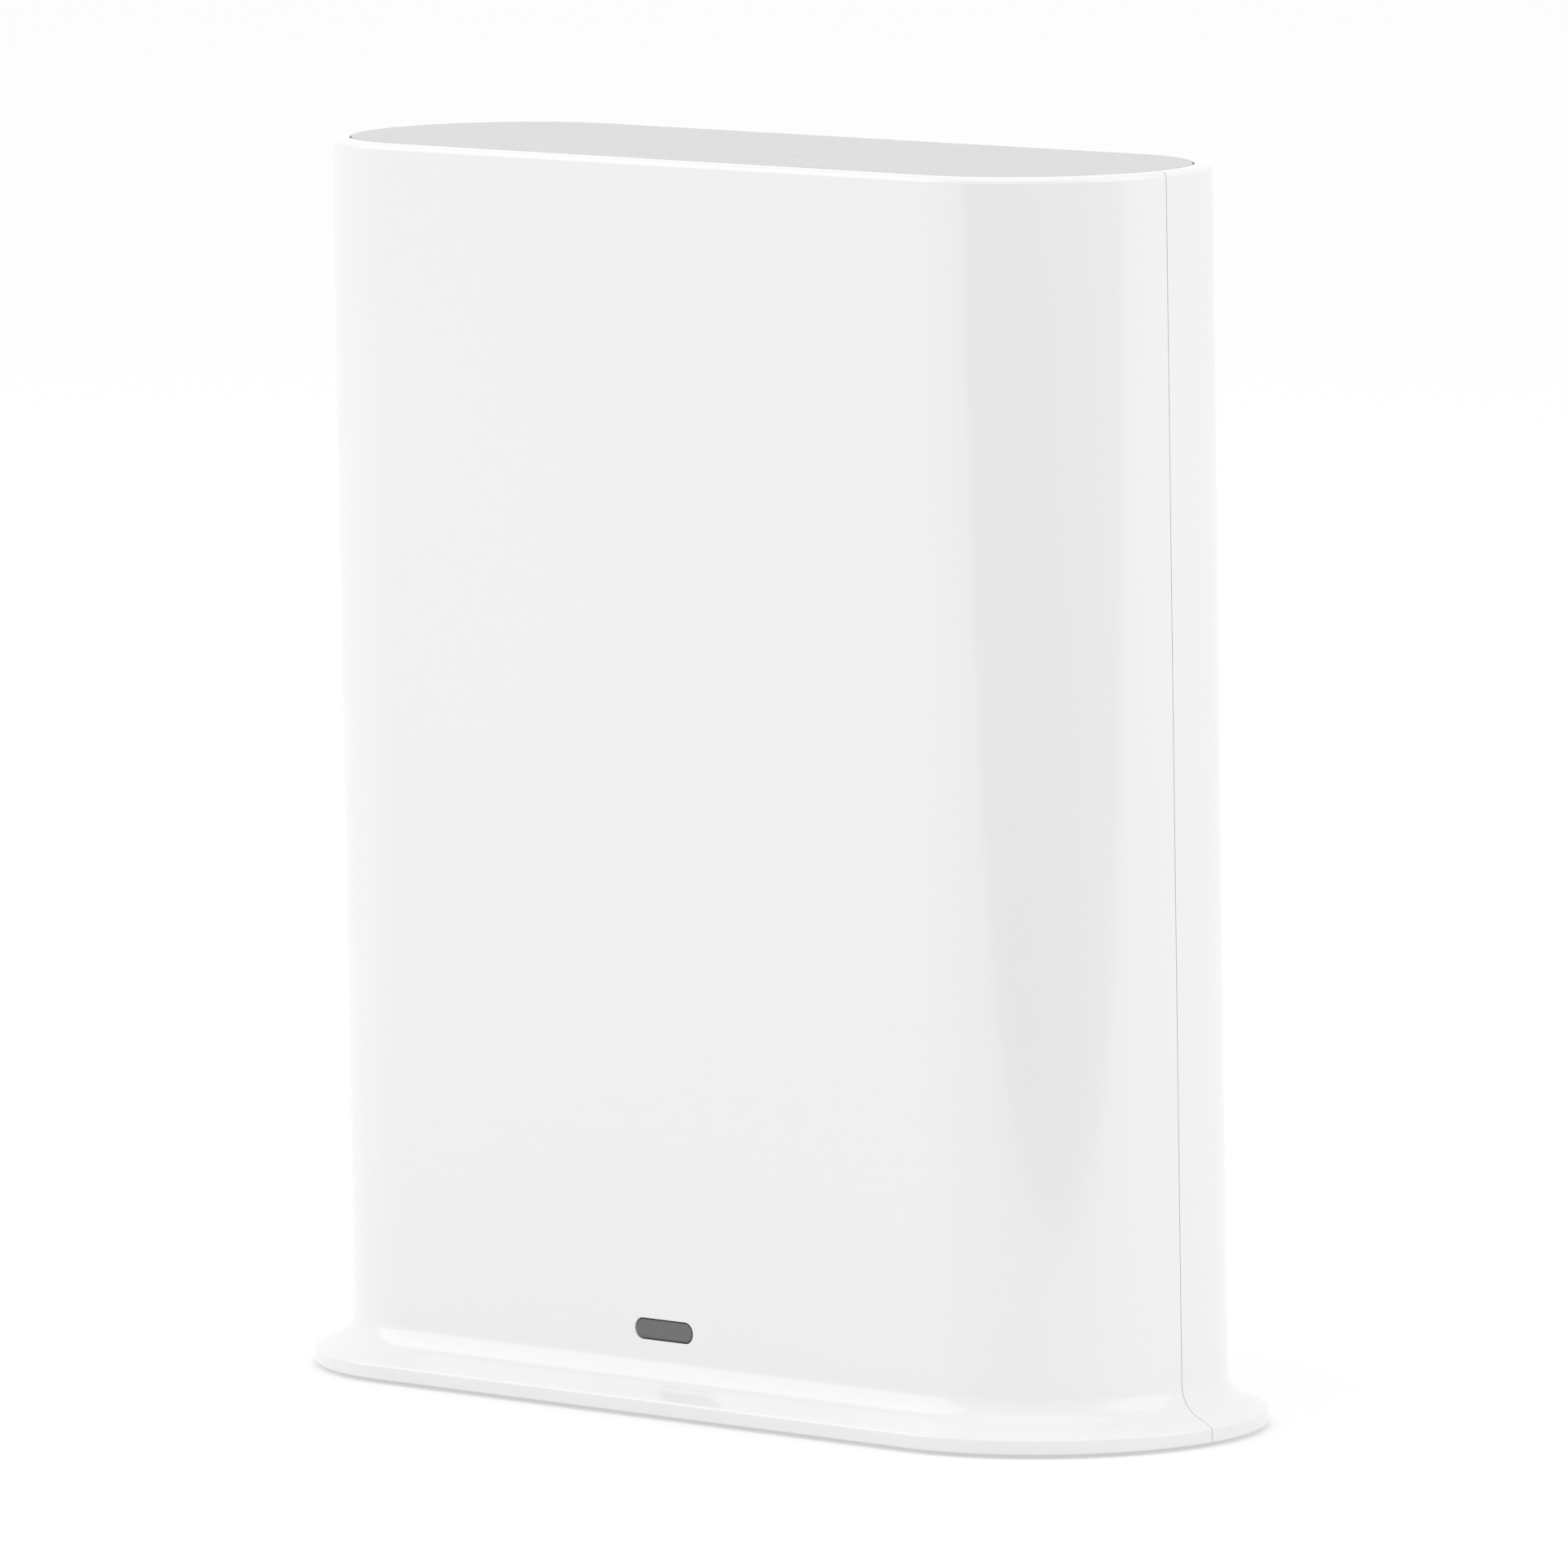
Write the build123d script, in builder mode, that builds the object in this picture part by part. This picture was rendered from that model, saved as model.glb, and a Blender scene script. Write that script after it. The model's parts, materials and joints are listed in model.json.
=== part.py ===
from build123d import *
from math import cos, radians, sin
import os

os.makedirs("parts", exist_ok=True)

# A free-standing hub in an upright casing. The origin lies on the table, under the middle of the foot.
# The front looks along -Y, the rear along +Y. All lengths are millimetres and all angles are degrees.

# Casing
tower_height = 170.0
body_length = 147.0
body_depth = 47.0
wall = 2.4
rim_radius = 1.2
rim_inner_radius = 0.3
seam_gap = 0.12
seam_bevel = 0.18
tongue_thickness = 1.2
tongue_reach = 3.0
tongue_root = 4.0
tongue_gap = 0.15
tongue_foot = 14.0
hook_count = 3
hook_pitch = 48.0
hook_length = 8.0
hook_proud = 0.7
hook_depth = 1.2
hook_tip = 0.3
hook_setback = 0.2
hook_gap = 0.15
mouth_edge = 0.3

# Foot
pad_proud = 0.5
foot_reach = 5.35
foot_side = 1.8
foot_lip_radius = 1.2
foot_slope = 18.0
foot_sweep_radius = 3.4
foot_ring = 1.5
foot_seat = 2.6
foot_inner_rise = 3.2

# Bottom cover, its pads and its screws
cover_thickness = 2.0
cover_recess = 0.2
cover_gap = 0.15
cup_height = 2.6
cup_floor = 1.2
cup_wall = 1.4
cup_gap = 0.25
pad_radius = 6.0
pad_sink = 0.8
pad_outset = 8.5
pad_side = 17.0
cover_screw_inset = 8.0
cover_screw_side = 14.5
cover_boss_height = 7.4
cover_vent_count = 9
cover_vent_pitch = 5.6
cover_vent_length = 22.0
vent_width = 2.0

# Top cap
cap_recess = 0.2
cap_thickness = 2.0
cap_gap = 0.25
cap_edge_radius = 0.25
ledge_reach = 1.6
ledge_thickness = 1.4
clip_width = 8.0
clip_thickness = 1.3
clip_gap = 0.2
clip_barb = 0.7
clip_barb_height = 1.6
clip_count = 3
clip_pitch = 36.0

# Status window and light guide
window_length = 10.8
window_height = 2.8
window_rise = 10.7
window_gap = 0.06
window_recess = 0.1
flange_reach = 1.2
lens_flange = 0.8
sleeve_wall = 1.2
sleeve_length = 8.0
guide_gap = 0.1
guide_root_length = 5.0
guide_collar = 1.0
guide_air = 0.3
lamp_length = 3.5
lamp_width = 2.8
lamp_height = 1.4
lamp_dome_radius = 1.1

# Connector bay in the rear face
bay_length = 66.0
bay_height = 28.0
bay_radius = 4.0
bay_depth = 9.5
bay_draft = 3.0
bay_z = 29.0
tray_wall = 1.5
tray_floor = 1.5
tray_recess = 0.3
tray_gap = 0.15
tray_rim_edge = 0.25
tray_floor_edge = 0.6
ear_length = 9.0
ear_height = 12.0
port_gap = 0.3
port_set_back = 0.2
pinhole_radius = 0.9

# Main board
board_thickness = 1.6
board_end_margin = 13.5
board_bottom = 7.0
board_head_room = 53.0
board_corner = 2.0
board_hole_inset = 5.0

# Screws: shank radius, head radius, head height and the bosses they bite into
screw_radius = 1.3
screw_head_radius = 2.7
screw_head_height = 1.7
screw_clearance = 0.3
boss_radius = 3.4
boss_rib_width = 1.2
boss_rib_reach = 5.0
boss_rib_height = 8.0
board_screw_length = 8.0
tray_screw_length = 5.5
cover_screw_length = 6.4
pilot_spare = 0.6
cross_width = 0.8
cross_length = 2.8
cross_depth = 0.9

# Connectors on the board
connector_height = 16.3
connector_corner = 0.4
jack_width = 16.0
jack_height = 13.5
jack_x = 4.0
socket_width = 11.9
socket_height = 6.9
socket_depth = 12.5
socket_drop = 1.4
latch_width = 6.4
latch_height = 1.7
key_width = 3.4
key_height = 1.3
port_lamp_width = 3.0
port_lamp_height = 1.8
port_lamp_depth = 3.0
port_lamp_inset = 1.0
port_lamp_gap = 0.05
contact_count = 8
contact_pitch = 1.02
contact_width = 0.4
contact_thickness = 0.35
contact_set_back = 1.6
contact_rise = 2.6
usb_x = -16.0
usb_width = 13.1
usb_height = 5.9
usb_sheet = 0.3
usb_corner = 0.7
usb_depth = 9.6
usb_tongue_width = 11.1
usb_tongue_thickness = 1.8
usb_tongue_offset = 0.9
usb_tongue_set_back = 0.8
usb_contact_count = 4
usb_contact_pitch = 2.3
usb_contact_width = 1.2
usb_contact_thickness = 0.2
usb_contact_length = 7.0
dc_x = 24.0
dc_width = 9.4
dc_height = 11.0
dc_bore_radius = 2.95
dc_bore_depth = 10.0
dc_pin_radius = 1.0
dc_pin_root = 3.0
dc_pin_root_radius = 1.6
dc_pin_set_back = 0.8
reset_x = -28.2

# Push switches
switch_size = 6.2
switch_height = 3.5
switch_floor = 0.4
switch_cover = 0.6
switch_cavity_radius = 2.4
plunger_radius = 1.7
plunger_gap = 0.1
plunger_flange_radius = 2.15
plunger_flange = 0.9
plunger_proud = 1.6
reset_tip_gap = 1.2
sync_drop = 17.0
button_radius = 5.5
button_gap = 0.2
button_proud = 0.6
button_edge = 0.5
button_dish = 0.25
button_flange_radius = 7.0
button_flange = 1.2
button_play = 0.1
button_stem_radius = 2.2
collar_wall = 1.4
collar_length = 7.0
collar_gap = 0.25

# Rear cooling slots
rear_vent_count = 14
rear_vent_pitch = 4.4
rear_vent_length = 20.0
rear_vent_drop = 26.0

# Processor side of the board
processor_size = 15.0
processor_height = 1.2
processor_lift = 6.0
pad_thickness = 1.0
spreader_width = 60.0
spreader_height = 52.0
spreader_sheet = 1.5
spreader_flange = 6.0
spreader_bend = 1.5
spreader_hole_inset = 6.0
spacer_radius = 2.5
spacer_bore = 1.1
spacer_head_radius = 2.0
spacer_head_height = 1.3
spacer_screw_length = 3.4
spacer_hole = 1.4
memory_width = 8.0
memory_height = 12.5
memory_thickness = 1.0
memory_offset = 16.0
flash_width = 12.0
flash_height = 18.0
flash_thickness = 1.1
flash_inset = 18.0
flash_rise = 24.0
crystal_width = 5.0
crystal_height = 3.2
crystal_thickness = 1.2
crystal_inset = 18.0
crystal_rise = 30.0

# Radios and antennas
radio_inset = 15.0
radio_drop = 27.0
radio_can_width = 22.0
radio_can_height = 18.0
radio_can_depth = 2.0
radio_can_sheet = 0.25
radio_can_hole = 0.8
radio_chip_size = 9.0
radio_chip_thickness = 0.9
antenna_outset = 2.0
antenna_width = 12.0
antenna_length = 36.0
antenna_thickness = 0.8
antenna_top_gap = 12.0
antenna_stand = 6.5
antenna_post_radius = 2.6
antenna_pin_radius = 1.0
antenna_pin_proud = 0.7
antenna_hole_inset = 4.0
plug_drop = 11.0
plug_inset = 15.0
socket_radius = 1.2
socket_thickness = 0.9
plug_radius = 1.5
plug_thickness = 1.1
lead_radius = 0.6
lead_bend = 3.2
lead_start = 7.0
lead_inset = 3.6
lead_drop = 7.0
lead_end = 6.5

# Rear side of the board
magnetics_width = 15.0
magnetics_height = 12.0
magnetics_depth = 5.5
magnetics_x = 4.0
magnetics_rise = 16.0
leg_count = 8
leg_pitch = 1.5
leg_width = 0.6
leg_thickness = 0.25
leg_reach = 1.6
leg_rise = 1.8
inductor_size = 7.0
inductor_height = 4.2
inductor_corner = 1.6
inductor_inset = 29.0
inductor_pitch = 12.0
inductor_count = 2
capacitor_radius = 3.15
capacitor_height = 7.0
capacitor_base = 1.0
capacitor_inset = 29.0
capacitor_pitch = 9.0
capacitor_count = 4
power_rise = 26.0
power_row = 12.0

# Levels and places that follow from the sizes above
half_depth = body_depth / 2
end_x = body_length / 2 - half_depth
inner = half_depth - wall
foot_turn = 90 - foot_slope
foot_half = half_depth + foot_reach
foot_z = pad_proud
cover_z = foot_z + cover_recess
cover_top = cover_z + cover_thickness
cover_half = foot_half - foot_ring - cover_gap
cup_top = cover_top + cup_height
ledge_z = tower_height - cap_recess - cap_thickness
window_z = foot_z + window_rise
cover_screw_x = end_x - cover_screw_inset
pad_x = end_x + pad_outset
bay_floor_y = half_depth - bay_depth
tray_back_y = bay_floor_y - tray_floor
port_y = bay_floor_y - port_set_back
board_rear_y = port_y - connector_height
board_front_y = board_rear_y - board_thickness
board_length = body_length - 2 * board_end_margin
board_top = tower_height - board_head_room
flash_x = board_length / 2 - flash_inset
crystal_x = crystal_inset - board_length / 2
radio_x = board_length / 2 - radio_inset
plug_x = board_length / 2 - plug_inset
inductor_x = board_length / 2 - inductor_inset
capacitor_x = board_length / 2 - capacitor_inset
board_mid = (board_top + board_bottom) / 2
sync_z = board_top - sync_drop
ear_x = bay_length / 2 + tray_wall + ear_length / 2
antenna_x = end_x + antenna_outset
antenna_top = tower_height - antenna_top_gap
antenna_mid = antenna_top - antenna_length / 2
antenna_y = antenna_stand - inner
spacer_height = processor_height + pad_thickness
spreader_y = board_front_y - spacer_height
processor_z = board_mid + processor_lift
guide_tip_y = lens_flange - inner
power_z = bay_z + power_rise


def facing_front(x, y, z):
    """A plane at a point, seen from the front: local x is +X, local y is +Z, and it grows towards -Y."""
    return Plane(origin=(x, y, z), x_dir=(1, 0, 0), z_dir=(0, -1, 0))


def facing_rear(x, y, z):
    """A plane at a point, seen from the rear: local x is -X, local y is +Z, and it grows towards +Y."""
    return Plane(origin=(x, y, z), x_dir=(-1, 0, 0), z_dir=(0, 1, 0))


def write(part, name):
    """Labels a finished piece and writes it."""
    part.label = name
    export_step(part, f"parts/{name}.step")


def slot_block(length, depth, bottom, top):
    """A block with half-round ends, standing between two heights."""
    with BuildPart() as block:
        with BuildSketch(Plane.XY.offset(bottom)):
            SlotOverall(length, depth)
        extrude(amount=top - bottom)
    return block.part


def pan_screw(length, radius=screw_radius, head_radius=screw_head_radius, head_height=screw_head_height):
    """A screw whose head stands on the XY plane, with its shank going down and a cross in its head."""
    with BuildPart() as screw:
        with BuildSketch():
            Circle(head_radius)
        extrude(amount=head_height)
        chamfer(screw.faces().sort_by(Axis.Z)[-1].edges(), head_height / 4)
        with BuildSketch():
            Circle(radius)
        extrude(amount=-length)
        chamfer(screw.faces().sort_by(Axis.Z)[0].edges(), radius / 2)
        with BuildSketch(Plane.XY.offset(head_height)):
            Rectangle(cross_length * head_radius / screw_head_radius, cross_width)
            Rectangle(cross_width, cross_length * head_radius / screw_head_radius)
        extrude(amount=-cross_depth * head_height / screw_head_height, mode=Mode.SUBTRACT)
    return screw.part


def screw_group(screw, planes):
    """Copies of one screw, with the head side of each along its plane's direction."""
    with BuildPart() as group:
        with Locations(*planes):
            add(screw)
    return group.part


def push_switch_housing():
    """The square housing of a push switch, standing on the XY plane, with its stepped bore."""
    with BuildPart() as housing:
        with BuildSketch():
            RectangleRounded(switch_size, switch_size, switch_size / 10)
        extrude(amount=switch_height)
        with BuildSketch(Plane.XY.offset(switch_floor)):
            Circle(switch_cavity_radius)
        extrude(amount=switch_height - switch_floor - switch_cover, mode=Mode.SUBTRACT)
        with BuildSketch(Plane.XY.offset(switch_height)):
            Circle(plunger_radius + plunger_gap)
        extrude(amount=-switch_cover, mode=Mode.SUBTRACT)
    return housing.part


def push_switch_plunger(tip):
    """The plunger of a push switch, held in by its flange, with its tip at the given height."""
    flange_top = switch_height - switch_cover - plunger_gap
    with BuildPart() as plunger:
        with BuildSketch(Plane.XY.offset(flange_top - plunger_flange)):
            Circle(plunger_flange_radius)
        extrude(amount=plunger_flange)
        with BuildSketch(Plane.XY.offset(flange_top)):
            Circle(plunger_radius)
        extrude(amount=tip - flange_top)
        chamfer(plunger.faces().sort_by(Axis.Z)[-1].edges(), plunger_radius / 6)
    return plunger.part


def placed(part, plane):
    """A copy of a piece, moved from the XY plane to another plane."""
    return plane.location * part


# Casing wall: one section carried along both faces and round both ends


def wall_section():
    """The wall cut through: local x is the distance out from the middle plane, local y is the height."""
    drop = ledge_z - ledge_thickness
    straight = foot_reach - (foot_lip_radius + foot_sweep_radius) * (1 - cos(radians(foot_turn)))
    with BuildSketch() as section:
        with BuildLine():
            side = Line((foot_half, foot_z), (foot_half, foot_z + foot_side))
            lip = JernArc(side @ 1, side % 1, foot_lip_radius, foot_turn)
            slope = Line(lip @ 1, lip @ 1 + (lip % 1) * straight / sin(radians(foot_turn)))
            foot_sweep = JernArc(slope @ 1, slope % 1, foot_sweep_radius, -foot_turn)
            rise = Line(foot_sweep @ 1, (half_depth, tower_height - rim_radius))
            rim = JernArc(rise @ 1, (0, 1), rim_radius, 90)
            rim_top = Line(rim @ 1, (inner + rim_inner_radius, tower_height))
            rim_inside = JernArc(rim_top @ 1, (-1, 0), rim_inner_radius, 90)
            Polyline(
                rim_inside @ 1,
                (inner, ledge_z),
                (inner - ledge_reach, ledge_z),
                (inner - ledge_reach, drop),
                (inner, drop),
                (inner, cover_top + foot_inner_rise),
                (foot_half - foot_ring - foot_seat, cover_top),
                (foot_half - foot_ring, cover_top),
                (foot_half - foot_ring, foot_z),
                side @ 0,
            )
        make_face()
    return section.sketch


with BuildPart() as tower:
    for start_x, outward in ((end_x, -1), (-end_x, 1)):
        start = Plane(origin=(start_x, 0, 0), x_dir=(0, outward, 0), z_dir=(outward, 0, 0))
        with BuildSketch(start) as section:
            add(wall_section())
        extrude(section.sketch, amount=2 * end_x)
        revolve(section.sketch, axis=Axis((start_x, 0, 0), (0, 0, 1)), revolution_arc=180)

casing_core = slot_block(body_length - wall, body_depth - wall, 0, tower_height)


def outer_seam_edges(half):
    """The outer edges of a casing half, along both ends of its seam."""
    on_seam = half.edges().filter_by_position(Axis.Y, -seam_gap, seam_gap)
    return on_seam.filter_by(lambda edge: min(abs(v.X) for v in edge.vertices()) > body_length / 2 - seam_gap)


def face_at(piece, y):
    """The flat face of a piece that is nearest to a level along Y."""
    return piece.faces().filter_by(Plane.XZ).sort_by(lambda face: abs(face.center().Y - y))[0]


def mouth_edges(shell, y):
    """The edges of the holes in a shell's flat face."""
    return ShapeList(edge for wire in face_at(shell, y).inner_wires() for edge in wire.edges())


def seam_hooks(side, gap):
    """The wedges on the seam's tongue at one end, or with a gap the pockets that they snap into."""
    root_x = end_x + inner - tongue_gap - tongue_thickness / 2
    tip_x = end_x + inner + hook_proud + gap
    front_y = hook_setback - tongue_reach - gap
    catch_y = front_y + hook_depth + hook_tip + 2 * gap
    points = [(root_x, front_y), (tip_x, front_y + hook_depth), (tip_x, catch_y), (root_x, catch_y)]
    low = (tongue_foot + ledge_z - (hook_count - 1) * hook_pitch - hook_length) / 2
    with BuildPart() as hooks:
        for hook in range(hook_count):
            with BuildSketch(Plane.XY.offset(low + hook * hook_pitch - gap)):
                with BuildLine():
                    Polyline(*[(side * x, y) for x, y in points], close=True)
                make_face()
            extrude(amount=hook_length + 2 * gap)
    return hooks.part


def cover_bosses(side):
    """Two bosses for the cover screws, each tied to the wall by a rib. Side is -1 in front, 1 behind."""
    boss_y = side * cover_screw_side
    with BuildPart() as bosses:
        with BuildSketch(Plane.XY.offset(cup_top)):
            with Locations((-cover_screw_x, boss_y), (cover_screw_x, boss_y)):
                Circle(boss_radius)
            with Locations((-cover_screw_x, side * inner), (cover_screw_x, side * inner)):
                Rectangle(2 * screw_radius, 2 * (inner - cover_screw_side))
        extrude(amount=cover_boss_height)
        with BuildSketch(Plane.XY.offset(cup_top)):
            with Locations((-cover_screw_x, boss_y), (cover_screw_x, boss_y)):
                Circle(screw_radius)
        extrude(amount=cover_screw_length - cup_floor + pilot_spare, mode=Mode.SUBTRACT)
    return bosses.part


# Front casing half

board_hole_x = board_length / 2 - board_hole_inset
board_hole_low = board_bottom + board_hole_inset
board_hole_high = board_top - board_hole_inset
board_holes = [
    (x, z) for x in (-board_hole_x, board_hole_x) for z in (board_hole_low, board_hole_high)
]
antenna_holes = [
    (x, z)
    for x in (-antenna_x, antenna_x)
    for z in (antenna_top - antenna_hole_inset, antenna_top - antenna_length + antenna_hole_inset)
]
sleeve_inner_length = window_length + 2 * (flange_reach + guide_gap)
sleeve_inner_height = window_height + 2 * (flange_reach + guide_gap)
board_pilot = board_screw_length - board_thickness + pilot_spare

with BuildPart() as front_fittings:
    with BuildSketch(facing_front(0, board_front_y, 0)):
        with Locations(*board_holes):
            Circle(boss_radius)
    extrude(amount=half_depth + board_front_y)
    with BuildSketch(facing_front(0, boss_rib_height - inner, 0)):
        with Locations(*board_holes):
            Rectangle(2 * boss_rib_reach, boss_rib_width)
            Rectangle(boss_rib_width, 2 * boss_rib_reach)
    extrude(amount=boss_rib_height + wall / 2)
    with BuildSketch(facing_front(0, board_front_y, 0)):
        with Locations(*board_holes):
            Circle(screw_radius)
    extrude(amount=board_pilot, mode=Mode.SUBTRACT)
    with BuildSketch(facing_front(0, antenna_y, 0)):
        with Locations(*antenna_holes):
            Circle(antenna_post_radius)
    extrude(amount=half_depth + antenna_y)
    with BuildSketch(facing_front(0, antenna_y, 0)):
        with Locations(*antenna_holes):
            Circle(antenna_pin_radius)
    extrude(amount=-antenna_thickness - antenna_pin_proud)
    with BuildSketch(facing_front(0, sleeve_length - inner, window_z)):
        SlotOverall(sleeve_inner_length + 2 * sleeve_wall, sleeve_inner_height + 2 * sleeve_wall)
        SlotOverall(sleeve_inner_length, sleeve_inner_height, mode=Mode.SUBTRACT)
    extrude(amount=sleeve_length + wall / 2)
    add(cover_bosses(-1))
    add(casing_core, mode=Mode.INTERSECT)

with BuildPart() as front_shell:
    add(tower.part)
    split(bisect_by=Plane.XZ.offset(seam_gap / 2), keep=Keep.TOP)
    chamfer(outer_seam_edges(front_shell), seam_bevel)
    add(front_fittings.part)
    with BuildSketch(facing_front(0, -inner, window_z)):
        SlotOverall(window_length + 2 * window_gap, window_height + 2 * window_gap)
    extrude(amount=wall, mode=Mode.SUBTRACT)
    chamfer(mouth_edges(front_shell, -half_depth), window_recess)
    add([seam_hooks(-1, hook_gap), seam_hooks(1, hook_gap)], mode=Mode.SUBTRACT)
write(front_shell.part, "front_shell")

# Rear casing half

tray_outer_length = bay_length + 2 * tray_wall
tray_outer_height = bay_height + 2 * tray_wall
button_hole_radius = button_radius + button_gap
collar_radius = button_flange_radius + collar_gap
tray_boss_depth = inner - bay_floor_y
rear_vent_z = tower_height - rear_vent_drop


def seam_tongue(side):
    """The strip on the rear half that reaches across the seam inside the front half, at one end."""
    with BuildPart() as tongue:
        with BuildSketch(Plane.XY.offset(tongue_foot)):
            with Locations((side * end_x, 0)):
                Circle(inner)
                Circle(inner - tongue_gap - tongue_thickness, mode=Mode.SUBTRACT)
            with Locations((side * (end_x + inner), (tongue_root - tongue_reach) / 2)):
                Rectangle(inner, tongue_root + tongue_reach, mode=Mode.INTERSECT)
        extrude(amount=ledge_z - ledge_thickness - tongue_gap - tongue_foot)
        with BuildSketch(Plane.XY.offset(tongue_foot)):
            with Locations((side * end_x, 0)):
                Circle(half_depth)
                Circle(inner - tongue_gap, mode=Mode.SUBTRACT)
            with Locations((side * (end_x + inner), -tongue_reach)):
                Rectangle(half_depth, 2 * tongue_reach + seam_gap, mode=Mode.INTERSECT)
        extrude(amount=tower_height - tongue_foot, mode=Mode.SUBTRACT)
    return tongue.part


with BuildPart() as rear_fittings:
    with BuildSketch(facing_rear(0, bay_floor_y, bay_z)):
        with Locations((-ear_x, 0), (ear_x, 0)):
            Circle(boss_radius)
    extrude(amount=tray_boss_depth + wall / 2)
    with BuildSketch(facing_rear(0, bay_floor_y, bay_z)):
        with Locations((-ear_x, 0), (ear_x, 0)):
            Circle(screw_radius)
    extrude(amount=tray_screw_length - tray_floor + pilot_spare, mode=Mode.SUBTRACT)
    with BuildSketch(facing_rear(0, inner - collar_length, sync_z)):
        Circle(collar_radius + collar_wall)
        Circle(collar_radius, mode=Mode.SUBTRACT)
    extrude(amount=collar_length + wall / 2)
    add(cover_bosses(1))
    add(casing_core, mode=Mode.INTERSECT)
    add([seam_tongue(-1), seam_tongue(1), seam_hooks(-1, 0), seam_hooks(1, 0)])

with BuildPart() as rear_shell:
    add(tower.part)
    split(bisect_by=Plane.XZ.offset(-seam_gap / 2), keep=Keep.BOTTOM)
    chamfer(outer_seam_edges(rear_shell), seam_bevel)
    add(rear_fittings.part)
    with BuildSketch(facing_rear(0, inner, bay_z)):
        RectangleRounded(
            tray_outer_length + 2 * tray_gap,
            tray_outer_height + 2 * tray_gap,
            bay_radius + tray_wall + tray_gap,
        )
    extrude(amount=wall, mode=Mode.SUBTRACT)
    with BuildSketch(facing_rear(0, inner, sync_z)):
        Circle(button_hole_radius)
    extrude(amount=wall, mode=Mode.SUBTRACT)
    with BuildSketch(facing_rear(0, inner, rear_vent_z)):
        with GridLocations(rear_vent_pitch, 0, rear_vent_count, 1):
            SlotOverall(rear_vent_length, vent_width, rotation=90)
    extrude(amount=wall, mode=Mode.SUBTRACT)
    chamfer(mouth_edges(rear_shell, half_depth), mouth_edge)
write(rear_shell.part, "rear_shell")

# Top cap, held by clips that snap under the ledge

clip_outer = inner - ledge_reach - clip_gap
clip_catch = ledge_z - ledge_thickness - clip_gap
clip_end = clip_catch - clip_barb_height

with BuildPart() as top_cap:
    with BuildSketch(Plane.XY.offset(ledge_z)):
        SlotOverall(body_length - 2 * (wall + cap_gap), body_depth - 2 * (wall + cap_gap))
    extrude(amount=cap_thickness)
    fillet(top_cap.faces().sort_by(Axis.Z)[-1].edges(), cap_edge_radius)
    for clip in range(clip_count):
        clip_x = (clip - (clip_count - 1) / 2) * clip_pitch
        with BuildSketch(Plane.YZ.offset(clip_x - clip_width / 2)):
            with BuildLine():
                Polyline(
                    (clip_outer, ledge_z),
                    (clip_outer, clip_catch),
                    (clip_outer + clip_barb, clip_catch),
                    (clip_outer, clip_end),
                    (clip_outer - clip_thickness, clip_end),
                    (clip_outer - clip_thickness, ledge_z),
                    close=True,
                )
            make_face()
            mirror(about=Plane.YZ)
        extrude(amount=clip_width)
write(top_cap.part, "top_cap")

# Bottom cover

cover_screws = [
    (x, y)
    for x in (-cover_screw_x, cover_screw_x)
    for y in (-cover_screw_side, cover_screw_side)
]
pad_places = [(x, y) for x in (-pad_x, pad_x) for y in (-pad_side, pad_side)]
cup_radius = screw_head_radius + screw_clearance + cup_wall
pad_top = cover_z + pad_sink

with BuildPart() as bottom_cover:
    with BuildSketch(Plane.XY.offset(cover_z)):
        SlotOverall(2 * (end_x + cover_half), 2 * cover_half)
    extrude(amount=cover_thickness)
    with BuildSketch(Plane.XY.offset(cover_top)):
        with Locations(*cover_screws):
            Circle(cup_radius)
    extrude(amount=cup_height)
    with Locations(*[Plane(origin=(x, y, cover_z), z_dir=(0, 0, -1)) for x, y in cover_screws]):
        CounterBoreHole(
            screw_radius + screw_clearance,
            screw_head_radius + screw_clearance,
            cup_top - cup_floor - cover_z,
            depth=cup_top - cover_z,
        )
    with BuildSketch(Plane.XY.offset(cover_z)):
        with Locations(*pad_places):
            Circle(pad_radius + cup_gap)
    extrude(amount=pad_sink, mode=Mode.SUBTRACT)
    with BuildSketch(Plane.XY.offset(cover_z)):
        with GridLocations(cover_vent_pitch, 0, cover_vent_count, 1):
            SlotOverall(cover_vent_length, vent_width, rotation=90)
    extrude(amount=cover_thickness, mode=Mode.SUBTRACT)
write(bottom_cover.part, "bottom_cover")

with BuildPart() as foot_pads:
    with BuildSketch():
        with Locations(*pad_places):
            Circle(pad_radius)
    extrude(amount=pad_top)
    chamfer(foot_pads.faces().filter_by_position(Axis.Z, 0, 0).edges(), pad_proud / 2)
write(foot_pads.part, "foot_pads")

cover_screw_planes = [
    Plane(origin=(x, y, cup_top - cup_floor), z_dir=(0, 0, -1)) for x, y in cover_screws
]
write(screw_group(pan_screw(cover_screw_length), cover_screw_planes), "cover_screws")

# Status window, light guide and lamp

with BuildPart() as status_lens:
    with BuildSketch(facing_front(0, guide_tip_y, window_z)):
        SlotOverall(window_length + 2 * flange_reach, window_height + 2 * flange_reach)
    extrude(amount=lens_flange)
    with BuildSketch(facing_front(0, -inner, window_z)):
        SlotOverall(window_length, window_height)
    extrude(amount=wall - window_recess)
    fillet(status_lens.faces().sort_by(Axis.Y)[0].edges(), window_recess)
write(status_lens.part, "status_lens")

lamp_top_y = board_front_y - lamp_height - lamp_dome_radius / 2
guide_root_y = lamp_top_y - guide_air
guide_mouth_y = sleeve_length - inner

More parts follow.
